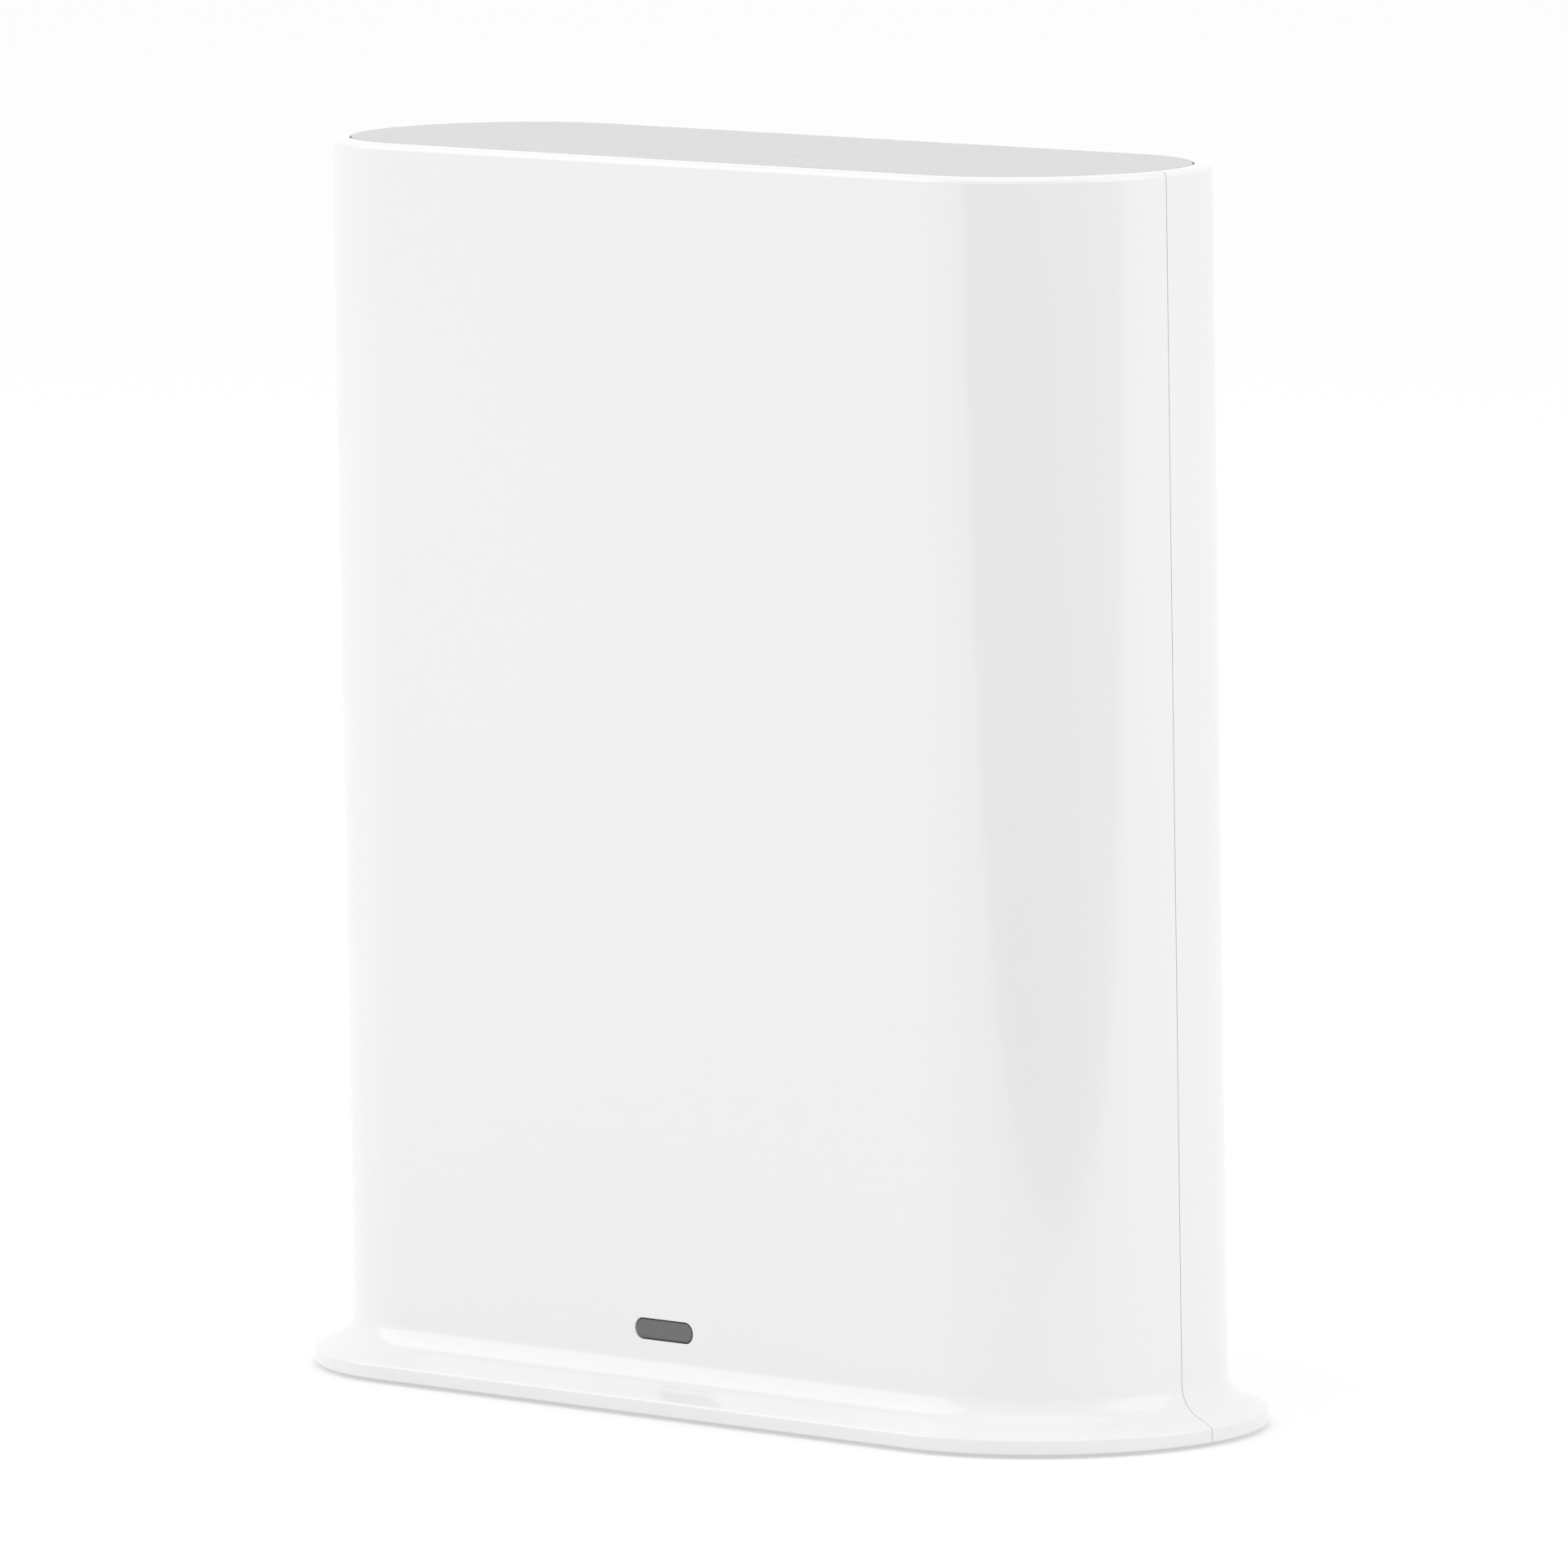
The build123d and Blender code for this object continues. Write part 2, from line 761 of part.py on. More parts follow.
with BuildPart() as light_guide:
    with BuildSketch(facing_front(0, guide_root_y, window_z)):
        SlotOverall(guide_root_length, window_height)
    with BuildSketch(facing_front(0, guide_tip_y + guide_collar, window_z)):
        SlotOverall(window_length, window_height)
    loft()
    for collar_y in (guide_mouth_y + guide_collar / 2, guide_tip_y + guide_collar):
        with BuildSketch(facing_front(0, collar_y, window_z)):
            SlotOverall(window_length + 2 * flange_reach, window_height + 2 * flange_reach)
        extrude(amount=guide_collar)
write(light_guide.part, "light_guide")

with BuildPart() as status_lamp:
    with BuildSketch(facing_front(0, board_front_y, window_z)):
        RectangleRounded(lamp_length, lamp_width, lamp_width / 10)
    extrude(amount=lamp_height)
    with BuildSketch(facing_front(0, board_front_y - lamp_height, window_z)):
        Circle(lamp_dome_radius)
    extrude(amount=lamp_dome_radius / 2)
    fillet(status_lamp.faces().sort_by(Axis.Y)[0].edges(), lamp_dome_radius / 3)
write(status_lamp.part, "status_lamp")

# Connector tray

with BuildPart() as port_tray:
    with BuildSketch(facing_rear(0, tray_back_y, bay_z)):
        RectangleRounded(tray_outer_length, tray_outer_height, bay_radius + tray_wall)
    extrude(amount=half_depth - tray_recess - tray_back_y)
    with BuildSketch(facing_rear(0, bay_floor_y, bay_z)):
        RectangleRounded(bay_length, bay_height, bay_radius)
    extrude(amount=bay_depth - tray_recess, taper=-bay_draft, mode=Mode.SUBTRACT)
    fillet(port_tray.faces().sort_by(Axis.Y)[-1].edges(), tray_rim_edge)
    fillet(face_at(port_tray, bay_floor_y).edges(), tray_floor_edge)
    with BuildSketch(facing_rear(0, tray_back_y, bay_z)):
        with Locations((-ear_x, 0), (ear_x, 0)):
            Rectangle(ear_length, ear_height)
    extrude(amount=tray_floor)
    outer_corners = port_tray.edges().filter_by(Axis.Y).group_by(lambda edge: abs(edge.center().X))[-1]
    fillet(outer_corners, tray_wall)
    with BuildSketch(facing_front(0, bay_floor_y, bay_z)):
        with Locations((-ear_x, 0), (ear_x, 0)):
            Circle(screw_radius + screw_clearance)
        with Locations((jack_x, 0)):
            Rectangle(jack_width + 2 * port_gap, jack_height + 2 * port_gap)
        with Locations((usb_x, 0)):
            Rectangle(usb_width + 2 * port_gap, usb_height + 2 * port_gap)
        with Locations((dc_x, 0)):
            Rectangle(dc_width + 2 * port_gap, dc_height + 2 * port_gap)
        with Locations((reset_x, 0)):
            Circle(pinhole_radius)
    extrude(amount=tray_floor, mode=Mode.SUBTRACT)
write(port_tray.part, "port_tray")

tray_screw_planes = [facing_front(x, tray_back_y, bay_z) for x in (-ear_x, ear_x)]
write(screw_group(pan_screw(tray_screw_length), tray_screw_planes), "tray_screws")

# Main board and its screws

with BuildPart() as main_board:
    with BuildSketch(facing_front(0, board_rear_y, board_mid)):
        RectangleRounded(board_length, board_top - board_bottom, board_corner)
    extrude(amount=board_thickness)
    with BuildSketch(facing_front(0, board_rear_y, 0)):
        with Locations(*board_holes):
            Circle(screw_radius + screw_clearance)
    extrude(amount=board_thickness, mode=Mode.SUBTRACT)
write(main_board.part, "main_board")

board_screw_planes = [facing_rear(x, board_rear_y, z) for x, z in board_holes]
write(screw_group(pan_screw(board_screw_length), board_screw_planes), "board_screws")

# Ethernet jack

socket_z = bay_z - socket_drop
socket_floor_z = socket_z - socket_height / 2

lamp_side_x = (jack_width - port_lamp_width) / 2 - port_lamp_inset
lamp_top_z = (jack_height - port_lamp_height) / 2 - port_lamp_inset

with BuildPart() as ethernet_jack:
    with BuildSketch(facing_rear(jack_x, board_rear_y, bay_z)):
        RectangleRounded(jack_width, jack_height, connector_corner)
    extrude(amount=connector_height)
    with BuildSketch(facing_front(jack_x, port_y, socket_z)):
        Rectangle(socket_width, socket_height)
        with Locations((0, (socket_height + latch_height) / 2)):
            Rectangle(latch_width, latch_height)
        with Locations((0, (socket_height + key_height) / 2 + latch_height)):
            Rectangle(key_width, key_height)
    extrude(amount=socket_depth, mode=Mode.SUBTRACT)
    with BuildSketch(facing_front(jack_x, port_y, bay_z + lamp_top_z)):
        with Locations((-lamp_side_x, 0), (lamp_side_x, 0)):
            Rectangle(port_lamp_width + 2 * port_lamp_gap, port_lamp_height + 2 * port_lamp_gap)
    extrude(amount=port_lamp_depth, mode=Mode.SUBTRACT)
write(ethernet_jack.part, "ethernet_jack")

with BuildPart() as ethernet_lamps:
    with BuildSketch(facing_front(jack_x, port_y, bay_z + lamp_top_z)):
        with Locations((-lamp_side_x, 0), (lamp_side_x, 0)):
            Rectangle(port_lamp_width, port_lamp_height)
    extrude(amount=port_lamp_depth)
write(ethernet_lamps.part, "ethernet_lamps")

contact_mouth_y = port_y - contact_set_back
contact_end_y = port_y - socket_depth

with BuildPart() as ethernet_contacts:
    for contact in range(contact_count):
        contact_x = jack_x + (contact - (contact_count - 1) / 2) * contact_pitch
        with BuildSketch(Plane.YZ.offset(contact_x - contact_width / 2)):
            with BuildLine():
                Polyline(
                    (contact_mouth_y, socket_floor_z),
                    (contact_mouth_y, socket_floor_z + contact_thickness),
                    (contact_end_y, socket_floor_z + contact_rise + contact_thickness),
                    (contact_end_y, socket_floor_z + contact_rise),
                    (contact_mouth_y - 2 * contact_thickness, socket_floor_z),
                    close=True,
                )
            make_face()
        extrude(amount=contact_width)
write(ethernet_contacts.part, "ethernet_contacts")

# USB socket

usb_tongue_z = bay_z + usb_tongue_offset
usb_block_y = port_y - usb_depth
usb_inner_width = usb_width - 2 * usb_sheet
usb_inner_height = usb_height - 2 * usb_sheet
usb_contact_z = usb_tongue_z - usb_tongue_thickness / 2 - usb_contact_thickness

with BuildPart() as usb_shell:
    with BuildSketch(facing_rear(usb_x, board_rear_y, bay_z)):
        RectangleRounded(usb_width, usb_height, usb_corner)
        RectangleRounded(usb_inner_width, usb_inner_height, usb_corner - usb_sheet, mode=Mode.SUBTRACT)
    extrude(amount=connector_height)
write(usb_shell.part, "usb_shell")

with BuildPart() as usb_tongue:
    with BuildSketch(facing_rear(usb_x, board_rear_y, bay_z)):
        RectangleRounded(usb_inner_width, usb_inner_height, usb_corner - usb_sheet)
    extrude(amount=usb_block_y - board_rear_y)
    with BuildSketch(facing_rear(usb_x, usb_block_y, usb_tongue_z)):
        Rectangle(usb_tongue_width, usb_tongue_thickness)
    extrude(amount=usb_depth - usb_tongue_set_back)
write(usb_tongue.part, "usb_tongue")

with BuildPart() as usb_contacts:
    with BuildSketch(facing_rear(usb_x, usb_block_y, usb_contact_z + usb_contact_thickness / 2)):
        with GridLocations(usb_contact_pitch, 0, usb_contact_count, 1):
            Rectangle(usb_contact_width, usb_contact_thickness)
    extrude(amount=usb_contact_length)
write(usb_contacts.part, "usb_contacts")

# Power jack

dc_bore_end_y = port_y - dc_bore_depth

with BuildPart() as power_jack:
    with BuildSketch(facing_rear(dc_x, board_rear_y, bay_z)):
        RectangleRounded(dc_width, dc_height, connector_corner)
    extrude(amount=connector_height)
    with BuildSketch(facing_front(dc_x, port_y, bay_z)):
        Circle(dc_bore_radius)
    extrude(amount=dc_bore_depth, mode=Mode.SUBTRACT)
    with BuildSketch(facing_front(dc_x, dc_bore_end_y, bay_z)):
        Circle(dc_pin_root_radius)
    extrude(amount=dc_pin_root, mode=Mode.SUBTRACT)
write(power_jack.part, "power_jack")

with BuildPart() as power_pin:
    with BuildSketch(facing_rear(dc_x, dc_bore_end_y - dc_pin_root, bay_z)):
        Circle(dc_pin_root_radius)
    extrude(amount=dc_pin_root)
    with BuildSketch(facing_rear(dc_x, dc_bore_end_y, bay_z)):
        Circle(dc_pin_radius)
    extrude(amount=dc_bore_depth - dc_pin_set_back)
    chamfer(power_pin.faces().sort_by(Axis.Y)[-1].edges(), dc_pin_radius / 3)
write(power_pin.part, "power_pin")

# Switches and the sync button

sync_tip = switch_height + plunger_proud
reset_tip = tray_back_y - reset_tip_gap - board_rear_y
sync_plane = facing_rear(0, board_rear_y, sync_z)
reset_plane = facing_rear(reset_x, board_rear_y, bay_z)
write(placed(push_switch_housing(), sync_plane), "sync_switch")
write(placed(push_switch_plunger(sync_tip), sync_plane), "sync_plunger")
write(placed(push_switch_housing(), reset_plane), "reset_switch")
write(placed(push_switch_plunger(reset_tip), reset_plane), "reset_plunger")

button_face = half_depth + button_proud
button_flange_top = inner - button_play
button_stem_end = board_rear_y + sync_tip + button_play
dish_sag_point = (0, button_face - button_dish)

with BuildPart() as sync_button:
    with BuildSketch(Plane(origin=(0, 0, sync_z), x_dir=(1, 0, 0), z_dir=(0, 0, 1))):
        with BuildLine():
            dish_edge = (button_radius - button_edge, button_face)
            dish = TangentArc(dish_sag_point, dish_edge, tangent=(1, 0))
            edge = JernArc(dish @ 1, (1, 0), button_edge, -90)
            Polyline(
                edge @ 1,
                (button_radius, button_flange_top),
                (button_flange_radius, button_flange_top),
                (button_flange_radius, button_flange_top - button_flange),
                (button_stem_radius, button_flange_top - button_flange),
                (button_stem_radius, button_stem_end),
                (0, button_stem_end),
                dish_sag_point,
            )
        make_face()
    revolve(axis=Axis((0, 0, sync_z), (0, 1, 0)))
write(sync_button.part, "sync_button")

# Processor, memory and clock on the front side of the board

with BuildPart() as processor:
    with BuildSketch(facing_front(0, board_front_y, processor_z)):
        Rectangle(processor_size, processor_size)
    extrude(amount=processor_height)
write(processor.part, "processor")

with BuildPart() as thermal_pad:
    with BuildSketch(facing_front(0, board_front_y - processor_height, processor_z)):
        Rectangle(processor_size, processor_size)
    extrude(amount=pad_thickness)
write(thermal_pad.part, "thermal_pad")

with BuildPart() as memory_chips:
    with BuildSketch(facing_front(0, board_front_y, processor_z)):
        with Locations((-memory_offset, 0), (memory_offset, 0)):
            Rectangle(memory_width, memory_height)
    extrude(amount=memory_thickness)
write(memory_chips.part, "memory_chips")

with BuildPart() as flash_chip:
    with BuildSketch(facing_front(flash_x, board_front_y, board_bottom + flash_rise)):
        Rectangle(flash_width, flash_height)
    extrude(amount=flash_thickness)
write(flash_chip.part, "flash_chip")

with BuildPart() as clock_crystal:
    with BuildSketch(facing_front(crystal_x, board_front_y, board_bottom + crystal_rise)):
        RectangleRounded(crystal_width, crystal_height, crystal_height / 8)
    extrude(amount=crystal_thickness)
write(clock_crystal.part, "clock_crystal")

# Heat spreader on four spacers

spacer_x = spreader_width / 2 - spreader_hole_inset
spacer_z = spreader_height / 2 - spreader_hole_inset
spacer_places = [(x, z) for x in (-spacer_x, spacer_x) for z in (-spacer_z, spacer_z)]
flange_y = spreader_y - spreader_sheet - spreader_flange

with BuildPart() as heat_spreader:
    with BuildSketch(Plane.XY.offset(processor_z - spreader_height / 2)):
        with BuildLine():
            Polyline(
                (0, spreader_y),
                (spreader_width / 2, spreader_y),
                (spreader_width / 2, flange_y),
                (spreader_width / 2 - spreader_sheet, flange_y),
                (spreader_width / 2 - spreader_sheet, spreader_y - spreader_sheet),
                (0, spreader_y - spreader_sheet),
                close=True,
            )
        make_face()
        mirror(about=Plane.YZ)
    extrude(amount=spreader_height)
    bends = heat_spreader.edges().filter_by(Axis.Z).filter_by_position(Axis.Y, spreader_y, spreader_y)
    fillet(bends, spreader_bend)
    with BuildSketch(facing_front(0, spreader_y, processor_z)):
        with Locations(*spacer_places):
            Circle(spacer_hole)
    extrude(amount=spreader_sheet, mode=Mode.SUBTRACT)
write(heat_spreader.part, "heat_spreader")

with BuildPart() as spreader_spacers:
    with BuildSketch(facing_front(0, board_front_y, processor_z)):
        with Locations(*spacer_places):
            RegularPolygon(spacer_radius, 6)
            Circle(spacer_bore, mode=Mode.SUBTRACT)
    extrude(amount=spacer_height)
write(spreader_spacers.part, "spreader_spacers")

spacer_screw = pan_screw(spacer_screw_length, spacer_bore, spacer_head_radius, spacer_head_height)
spacer_screw_planes = [
    facing_front(x, spreader_y - spreader_sheet, processor_z + z) for x, z in spacer_places
]
write(screw_group(spacer_screw, spacer_screw_planes), "spreader_screws")

# Radios under shield cans

radio_z = board_top - radio_drop

with BuildPart() as radio_chips:
    with BuildSketch(facing_front(0, board_front_y, radio_z)):
        with Locations((-radio_x, 0), (radio_x, 0)):
            Rectangle(radio_chip_size, radio_chip_size)
    extrude(amount=radio_chip_thickness)
write(radio_chips.part, "radio_chips")


def shield_can(x):
    """A thin drawn can over one radio, open towards the board, with cooling holes in its lid."""
    with BuildPart() as can:
        with BuildSketch(facing_front(x, board_front_y, radio_z)):
            RectangleRounded(radio_can_width, radio_can_height, 4 * radio_can_sheet)
        extrude(amount=radio_can_depth)
        offset(amount=-radio_can_sheet, openings=can.faces().sort_by(Axis.Y)[-1])
        with BuildSketch(facing_front(x, board_front_y, radio_z)):
            with GridLocations(radio_can_width / 4, radio_can_height / 3, 3, 2):
                Circle(radio_can_hole)
        extrude(amount=radio_can_depth, mode=Mode.SUBTRACT)
    return can.part


write(shield_can(-radio_x), "left_radio_shield")
write(shield_can(radio_x), "right_radio_shield")

# Antennas near the top, with their leads

plug_z = board_top - plug_drop
plug_y = board_front_y - socket_thickness
lead_y = plug_y - plug_thickness / 2
lead_x = antenna_x - lead_inset
antenna_back_y = antenna_y + antenna_thickness
antenna_bottom = antenna_top - antenna_length


def antenna_board(x):
    """One antenna board on its two moulded posts."""
    with BuildPart() as board:
        with BuildSketch(facing_front(x, antenna_back_y, antenna_mid)):
            RectangleRounded(antenna_width, antenna_length, board_corner / 2)
        extrude(amount=antenna_thickness)
        with BuildSketch(facing_front(0, antenna_back_y, 0)):
            with Locations(*antenna_holes):
                Circle(antenna_pin_radius)
        extrude(amount=antenna_thickness, mode=Mode.SUBTRACT)
    return board.part


def antenna_lead(side):
    """The coaxial lead of one antenna, from its solder point to its plug on the main board."""
    points = [
        (side * lead_x, antenna_back_y + lead_radius, antenna_bottom + lead_start),
        (side * lead_x, antenna_back_y + lead_radius, antenna_bottom - lead_drop),
        (side * plug_x, lead_y, plug_z + lead_end),
        (side * plug_x, lead_y, plug_z + plug_radius),
    ]
    with BuildPart() as lead:
        with BuildLine() as route:
            FilletPolyline(*points, radius=lead_bend)
        with BuildSketch(Plane(origin=points[0], z_dir=(0, 0, -1))):
            Circle(lead_radius)
        sweep(path=route.wires()[0])
    return lead.part


write(antenna_board(-antenna_x), "left_antenna")
write(antenna_board(antenna_x), "right_antenna")
write(antenna_lead(-1), "left_antenna_lead")
write(antenna_lead(1), "right_antenna_lead")

with BuildPart() as antenna_sockets:
    with BuildSketch(facing_front(0, board_front_y, plug_z)):
        with Locations((-plug_x, 0), (plug_x, 0)):
            Circle(socket_radius)
    extrude(amount=socket_thickness)
write(antenna_sockets.part, "antenna_sockets")

with BuildPart() as antenna_plugs:
    with BuildSketch(facing_front(0, plug_y, plug_z)):
        with Locations((-plug_x, 0), (plug_x, 0)):
            Circle(plug_radius)
    extrude(amount=plug_thickness)
write(antenna_plugs.part, "antenna_plugs")

# Network transformer and power parts on the rear side of the board

with BuildPart() as network_transformer:
    with BuildSketch(facing_rear(magnetics_x, board_rear_y, bay_z + magnetics_rise)):
        Rectangle(magnetics_width, magnetics_height)
    extrude(amount=magnetics_depth)
    chamfer(network_transformer.faces().sort_by(Axis.Y)[-1].edges(), magnetics_depth / 10)
write(network_transformer.part, "network_transformer")

leg_x = magnetics_width / 2
leg_z = bay_z + magnetics_rise - (leg_count - 1) * leg_pitch / 2

with BuildPart() as transformer_legs:
    for leg in range(leg_count):
        with BuildSketch(Plane.XY.offset(leg_z + leg * leg_pitch - leg_width / 2)):
            with BuildLine():
                Polyline(
                    (leg_x, board_rear_y + leg_rise + leg_thickness),
                    (leg_x + leg_reach / 2, board_rear_y + leg_rise + leg_thickness),
                    (leg_x + leg_reach / 2 + leg_thickness, board_rear_y + leg_thickness),
                    (leg_x + leg_reach, board_rear_y + leg_thickness),
                    (leg_x + leg_reach, board_rear_y),
                    (leg_x + leg_reach / 2, board_rear_y),
                    (leg_x + leg_reach / 2 - leg_thickness, board_rear_y + leg_rise),
                    (leg_x, board_rear_y + leg_rise),
                    close=True,
                )
            make_face()
            mirror(about=Plane.YZ)
        extrude(amount=leg_width)
write(placed(transformer_legs.part, Plane(origin=(magnetics_x, 0, 0))), "transformer_legs")

with BuildPart() as power_inductors:
    with BuildSketch(facing_front(inductor_x, board_rear_y, power_z + power_row)):
        with GridLocations(inductor_pitch, 0, inductor_count, 1):
            RectangleRounded(inductor_size, inductor_size, inductor_corner)
    extrude(amount=-inductor_height)
write(power_inductors.part, "power_inductors")

with BuildPart() as power_capacitors:
    with BuildSketch(facing_front(capacitor_x, board_rear_y, power_z)):
        with GridLocations(capacitor_pitch, 0, capacitor_count, 1):
            Rectangle(2 * capacitor_radius, 2 * capacitor_radius)
    extrude(amount=-capacitor_base)
    with BuildSketch(facing_front(capacitor_x, board_rear_y, power_z)):
        with GridLocations(capacitor_pitch, 0, capacitor_count, 1):
            Circle(capacitor_radius)
    extrude(amount=-capacitor_height)
    capacitor_tops = power_capacitors.faces().group_by(Axis.Y)[-1]
    chamfer(capacitor_tops.edges(), capacitor_radius / 8)
write(power_capacitors.part, "power_capacitors")
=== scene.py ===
"""The looks of a security camera base station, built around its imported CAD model.

Two casing halves of white gloss plastic stand on a flared foot. A grained grey cap closes the top, a smoked
status window sits low in the front, and a recessed bay in the rear holds the connectors. Lengths are metres.
"""

import json
import logging
import math
from collections.abc import Iterable, Mapping, Sequence
from dataclasses import dataclass, field
from enum import Enum
from functools import lru_cache
from itertools import pairwise
from typing import Protocol

import bmesh
import bpy
from mathutils import Matrix, Vector

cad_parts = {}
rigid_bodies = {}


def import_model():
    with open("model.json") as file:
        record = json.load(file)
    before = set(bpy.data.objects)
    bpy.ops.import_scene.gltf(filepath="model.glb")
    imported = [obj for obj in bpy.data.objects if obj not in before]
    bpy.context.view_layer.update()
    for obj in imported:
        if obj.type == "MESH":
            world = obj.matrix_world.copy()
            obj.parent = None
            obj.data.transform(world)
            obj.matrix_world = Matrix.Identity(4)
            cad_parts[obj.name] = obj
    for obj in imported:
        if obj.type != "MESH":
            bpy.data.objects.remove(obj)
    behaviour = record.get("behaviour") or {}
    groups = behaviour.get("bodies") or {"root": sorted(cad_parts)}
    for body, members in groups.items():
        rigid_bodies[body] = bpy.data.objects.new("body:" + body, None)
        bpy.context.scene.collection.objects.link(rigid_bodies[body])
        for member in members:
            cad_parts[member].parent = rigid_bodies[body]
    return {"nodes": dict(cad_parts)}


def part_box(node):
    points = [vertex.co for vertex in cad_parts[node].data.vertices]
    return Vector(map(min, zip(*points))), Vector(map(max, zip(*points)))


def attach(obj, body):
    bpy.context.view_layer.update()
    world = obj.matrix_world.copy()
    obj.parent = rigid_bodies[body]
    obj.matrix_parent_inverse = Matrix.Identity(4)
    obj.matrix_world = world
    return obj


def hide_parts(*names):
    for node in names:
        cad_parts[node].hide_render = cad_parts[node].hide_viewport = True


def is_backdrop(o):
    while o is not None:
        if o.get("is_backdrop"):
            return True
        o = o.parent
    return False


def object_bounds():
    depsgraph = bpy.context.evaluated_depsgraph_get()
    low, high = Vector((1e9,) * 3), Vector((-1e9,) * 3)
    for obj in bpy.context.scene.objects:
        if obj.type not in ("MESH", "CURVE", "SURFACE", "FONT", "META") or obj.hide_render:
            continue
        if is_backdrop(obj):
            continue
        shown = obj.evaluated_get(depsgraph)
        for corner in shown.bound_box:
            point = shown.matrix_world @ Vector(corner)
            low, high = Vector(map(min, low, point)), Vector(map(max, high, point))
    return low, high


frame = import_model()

MM = 0.001
CASING_BODY = "casing"
QUARTER = math.pi / 2
WELD = 1e-4 * MM  # Points closer than this count as one.
SPARE = 1 * MM  # How far a cutter reaches past what it cuts.
SCREW_HEAD_RADIUS = 2.7 * MM
PLASTIC_IOR = 1.49
RESIN_IOR = 1.5

Colour = tuple[float, float, float]
Level = tuple[float, float]
Row = list[bmesh.types.BMVert]

log = logging.getLogger("base_station")


# Drawing tools


def evenly(start: float, end: float, steps: int) -> list[float]:
    """Gives numbers at even steps from a start to an end."""
    return [start + (end - start) * step / steps for step in range(steps + 1)]


def pitched(count: int, pitch: float) -> list[float]:
    """Gives places at an even pitch, with their middle at 0."""
    return [(index - (count - 1) / 2) * pitch for index in range(count)]


@dataclass(frozen=True)
class Corner:
    """A corner of a flat path, with the radius that rounds it."""

    across: float
    up: float
    radius: float = 0.0


def rounded_path(corners: Sequence[Corner], steps: int, closed: bool = True) -> list[Vector]:
    """Turns corners into points, with an arc at each corner that has a radius.

    Args:
        corners: The corners in order.
        steps: How many straight runs make one arc.
        closed: Whether the last corner joins the first.

    Returns:
        The points in order, without doubles.
    """
    places = [Vector((corner.across, corner.up)) for corner in corners]
    points: list[Vector] = []
    for index, corner in enumerate(corners):
        place = places[index]
        is_end = not closed and index in (0, len(corners) - 1)
        if corner.radius <= 0 or is_end:
            points.append(place)
            continue
        back = (places[index - 1] - place).normalized()
        ahead = (places[(index + 1) % len(places)] - place).normalized()
        half_angle = back.angle(ahead) / 2
        centre = place + (back + ahead).normalized() * corner.radius / math.sin(half_angle)
        spoke = place + back * corner.radius / math.tan(half_angle) - centre
        turn = math.copysign(math.pi - 2 * half_angle, ahead.cross(back))
        for step in range(steps + 1):
            points.append(centre + Matrix.Rotation(turn * step / steps, 2) @ spoke)
    return [point for point, last in zip(points, [points[-1], *points]) if (point - last).length > WELD]


@dataclass(frozen=True)
class Outline:
    """A rectangle with round corners, which with full rounding is a slot or a circle."""

    length: float
    height: float
    radius: float
    steps: int = 6

    @classmethod
    def slot(cls, length: float, height: float, steps: int = 8) -> "Outline":
        """Gives a slot with half-round ends."""
        return cls(length, height, min(length, height) / 2, steps)

    @classmethod
    def circle(cls, radius: float, steps: int = 12) -> "Outline":
        """Gives a circle."""
        return cls(2 * radius, 2 * radius, radius, steps)

    def points(self, grow: float = 0.0) -> list[Vector]:
        """Draws the outline, grown outwards all round by a distance.

        Args:
            grow: How far outwards, or inwards below 0.

        Returns:
            The points in order.
        """
        half_length = self.length / 2 + grow
        half_height = self.height / 2 + grow
        signs = ((1, 1), (-1, 1), (-1, -1), (1, -1))
        corners = [Corner(x * half_length, y * half_height, self.radius + grow) for x, y in signs]
        return rounded_path(corners, self.steps)


class Facing(Enum):
    """The side that a feature looks towards, as the directions of its own across, up and out."""

    FRONT = ((1, 0, 0), (0, 0, 1), (0, -1, 0))
    REAR = ((-1, 0, 0), (0, 0, 1), (0, 1, 0))
    TOP = ((1, 0, 0), (0, 1, 0), (0, 0, 1))
    UNDER = ((1, 0, 0), (0, -1, 0), (0, 0, -1))

    def at(self, x: float, y: float, z: float) -> Matrix:
        """Gives the matrix that carries a feature from the origin to a point on this side."""
        return Matrix.Translation((x, y, z)) @ Matrix(self.value).transposed().to_4x4()


class Operation(Enum):
    """How solids are put together."""

    JOIN = "UNION"
    CUT = "DIFFERENCE"
    KEEP = "INTERSECT"


def placed(name: str, data: bpy.types.ID) -> bpy.types.Object:
    """Puts an object in the scene.

    Args:
        name: The name.
        data: The mesh, lamp or lens.

    Returns:
        The object.
    """
    thing = bpy.data.objects.new(name, data)
    bpy.context.scene.collection.objects.link(thing)
    return thing


def evaluated_mesh(thing: bpy.types.Object) -> bpy.types.Mesh:
    """Gives the mesh of an object with its modifiers applied.

    Args:
        thing: The object.

    Returns:
        A new mesh.
    """
    bpy.context.view_layer.update()
    depsgraph = bpy.context.evaluated_depsgraph_get()
    return bpy.data.meshes.new_from_object(thing.evaluated_get(depsgraph), depsgraph=depsgraph)


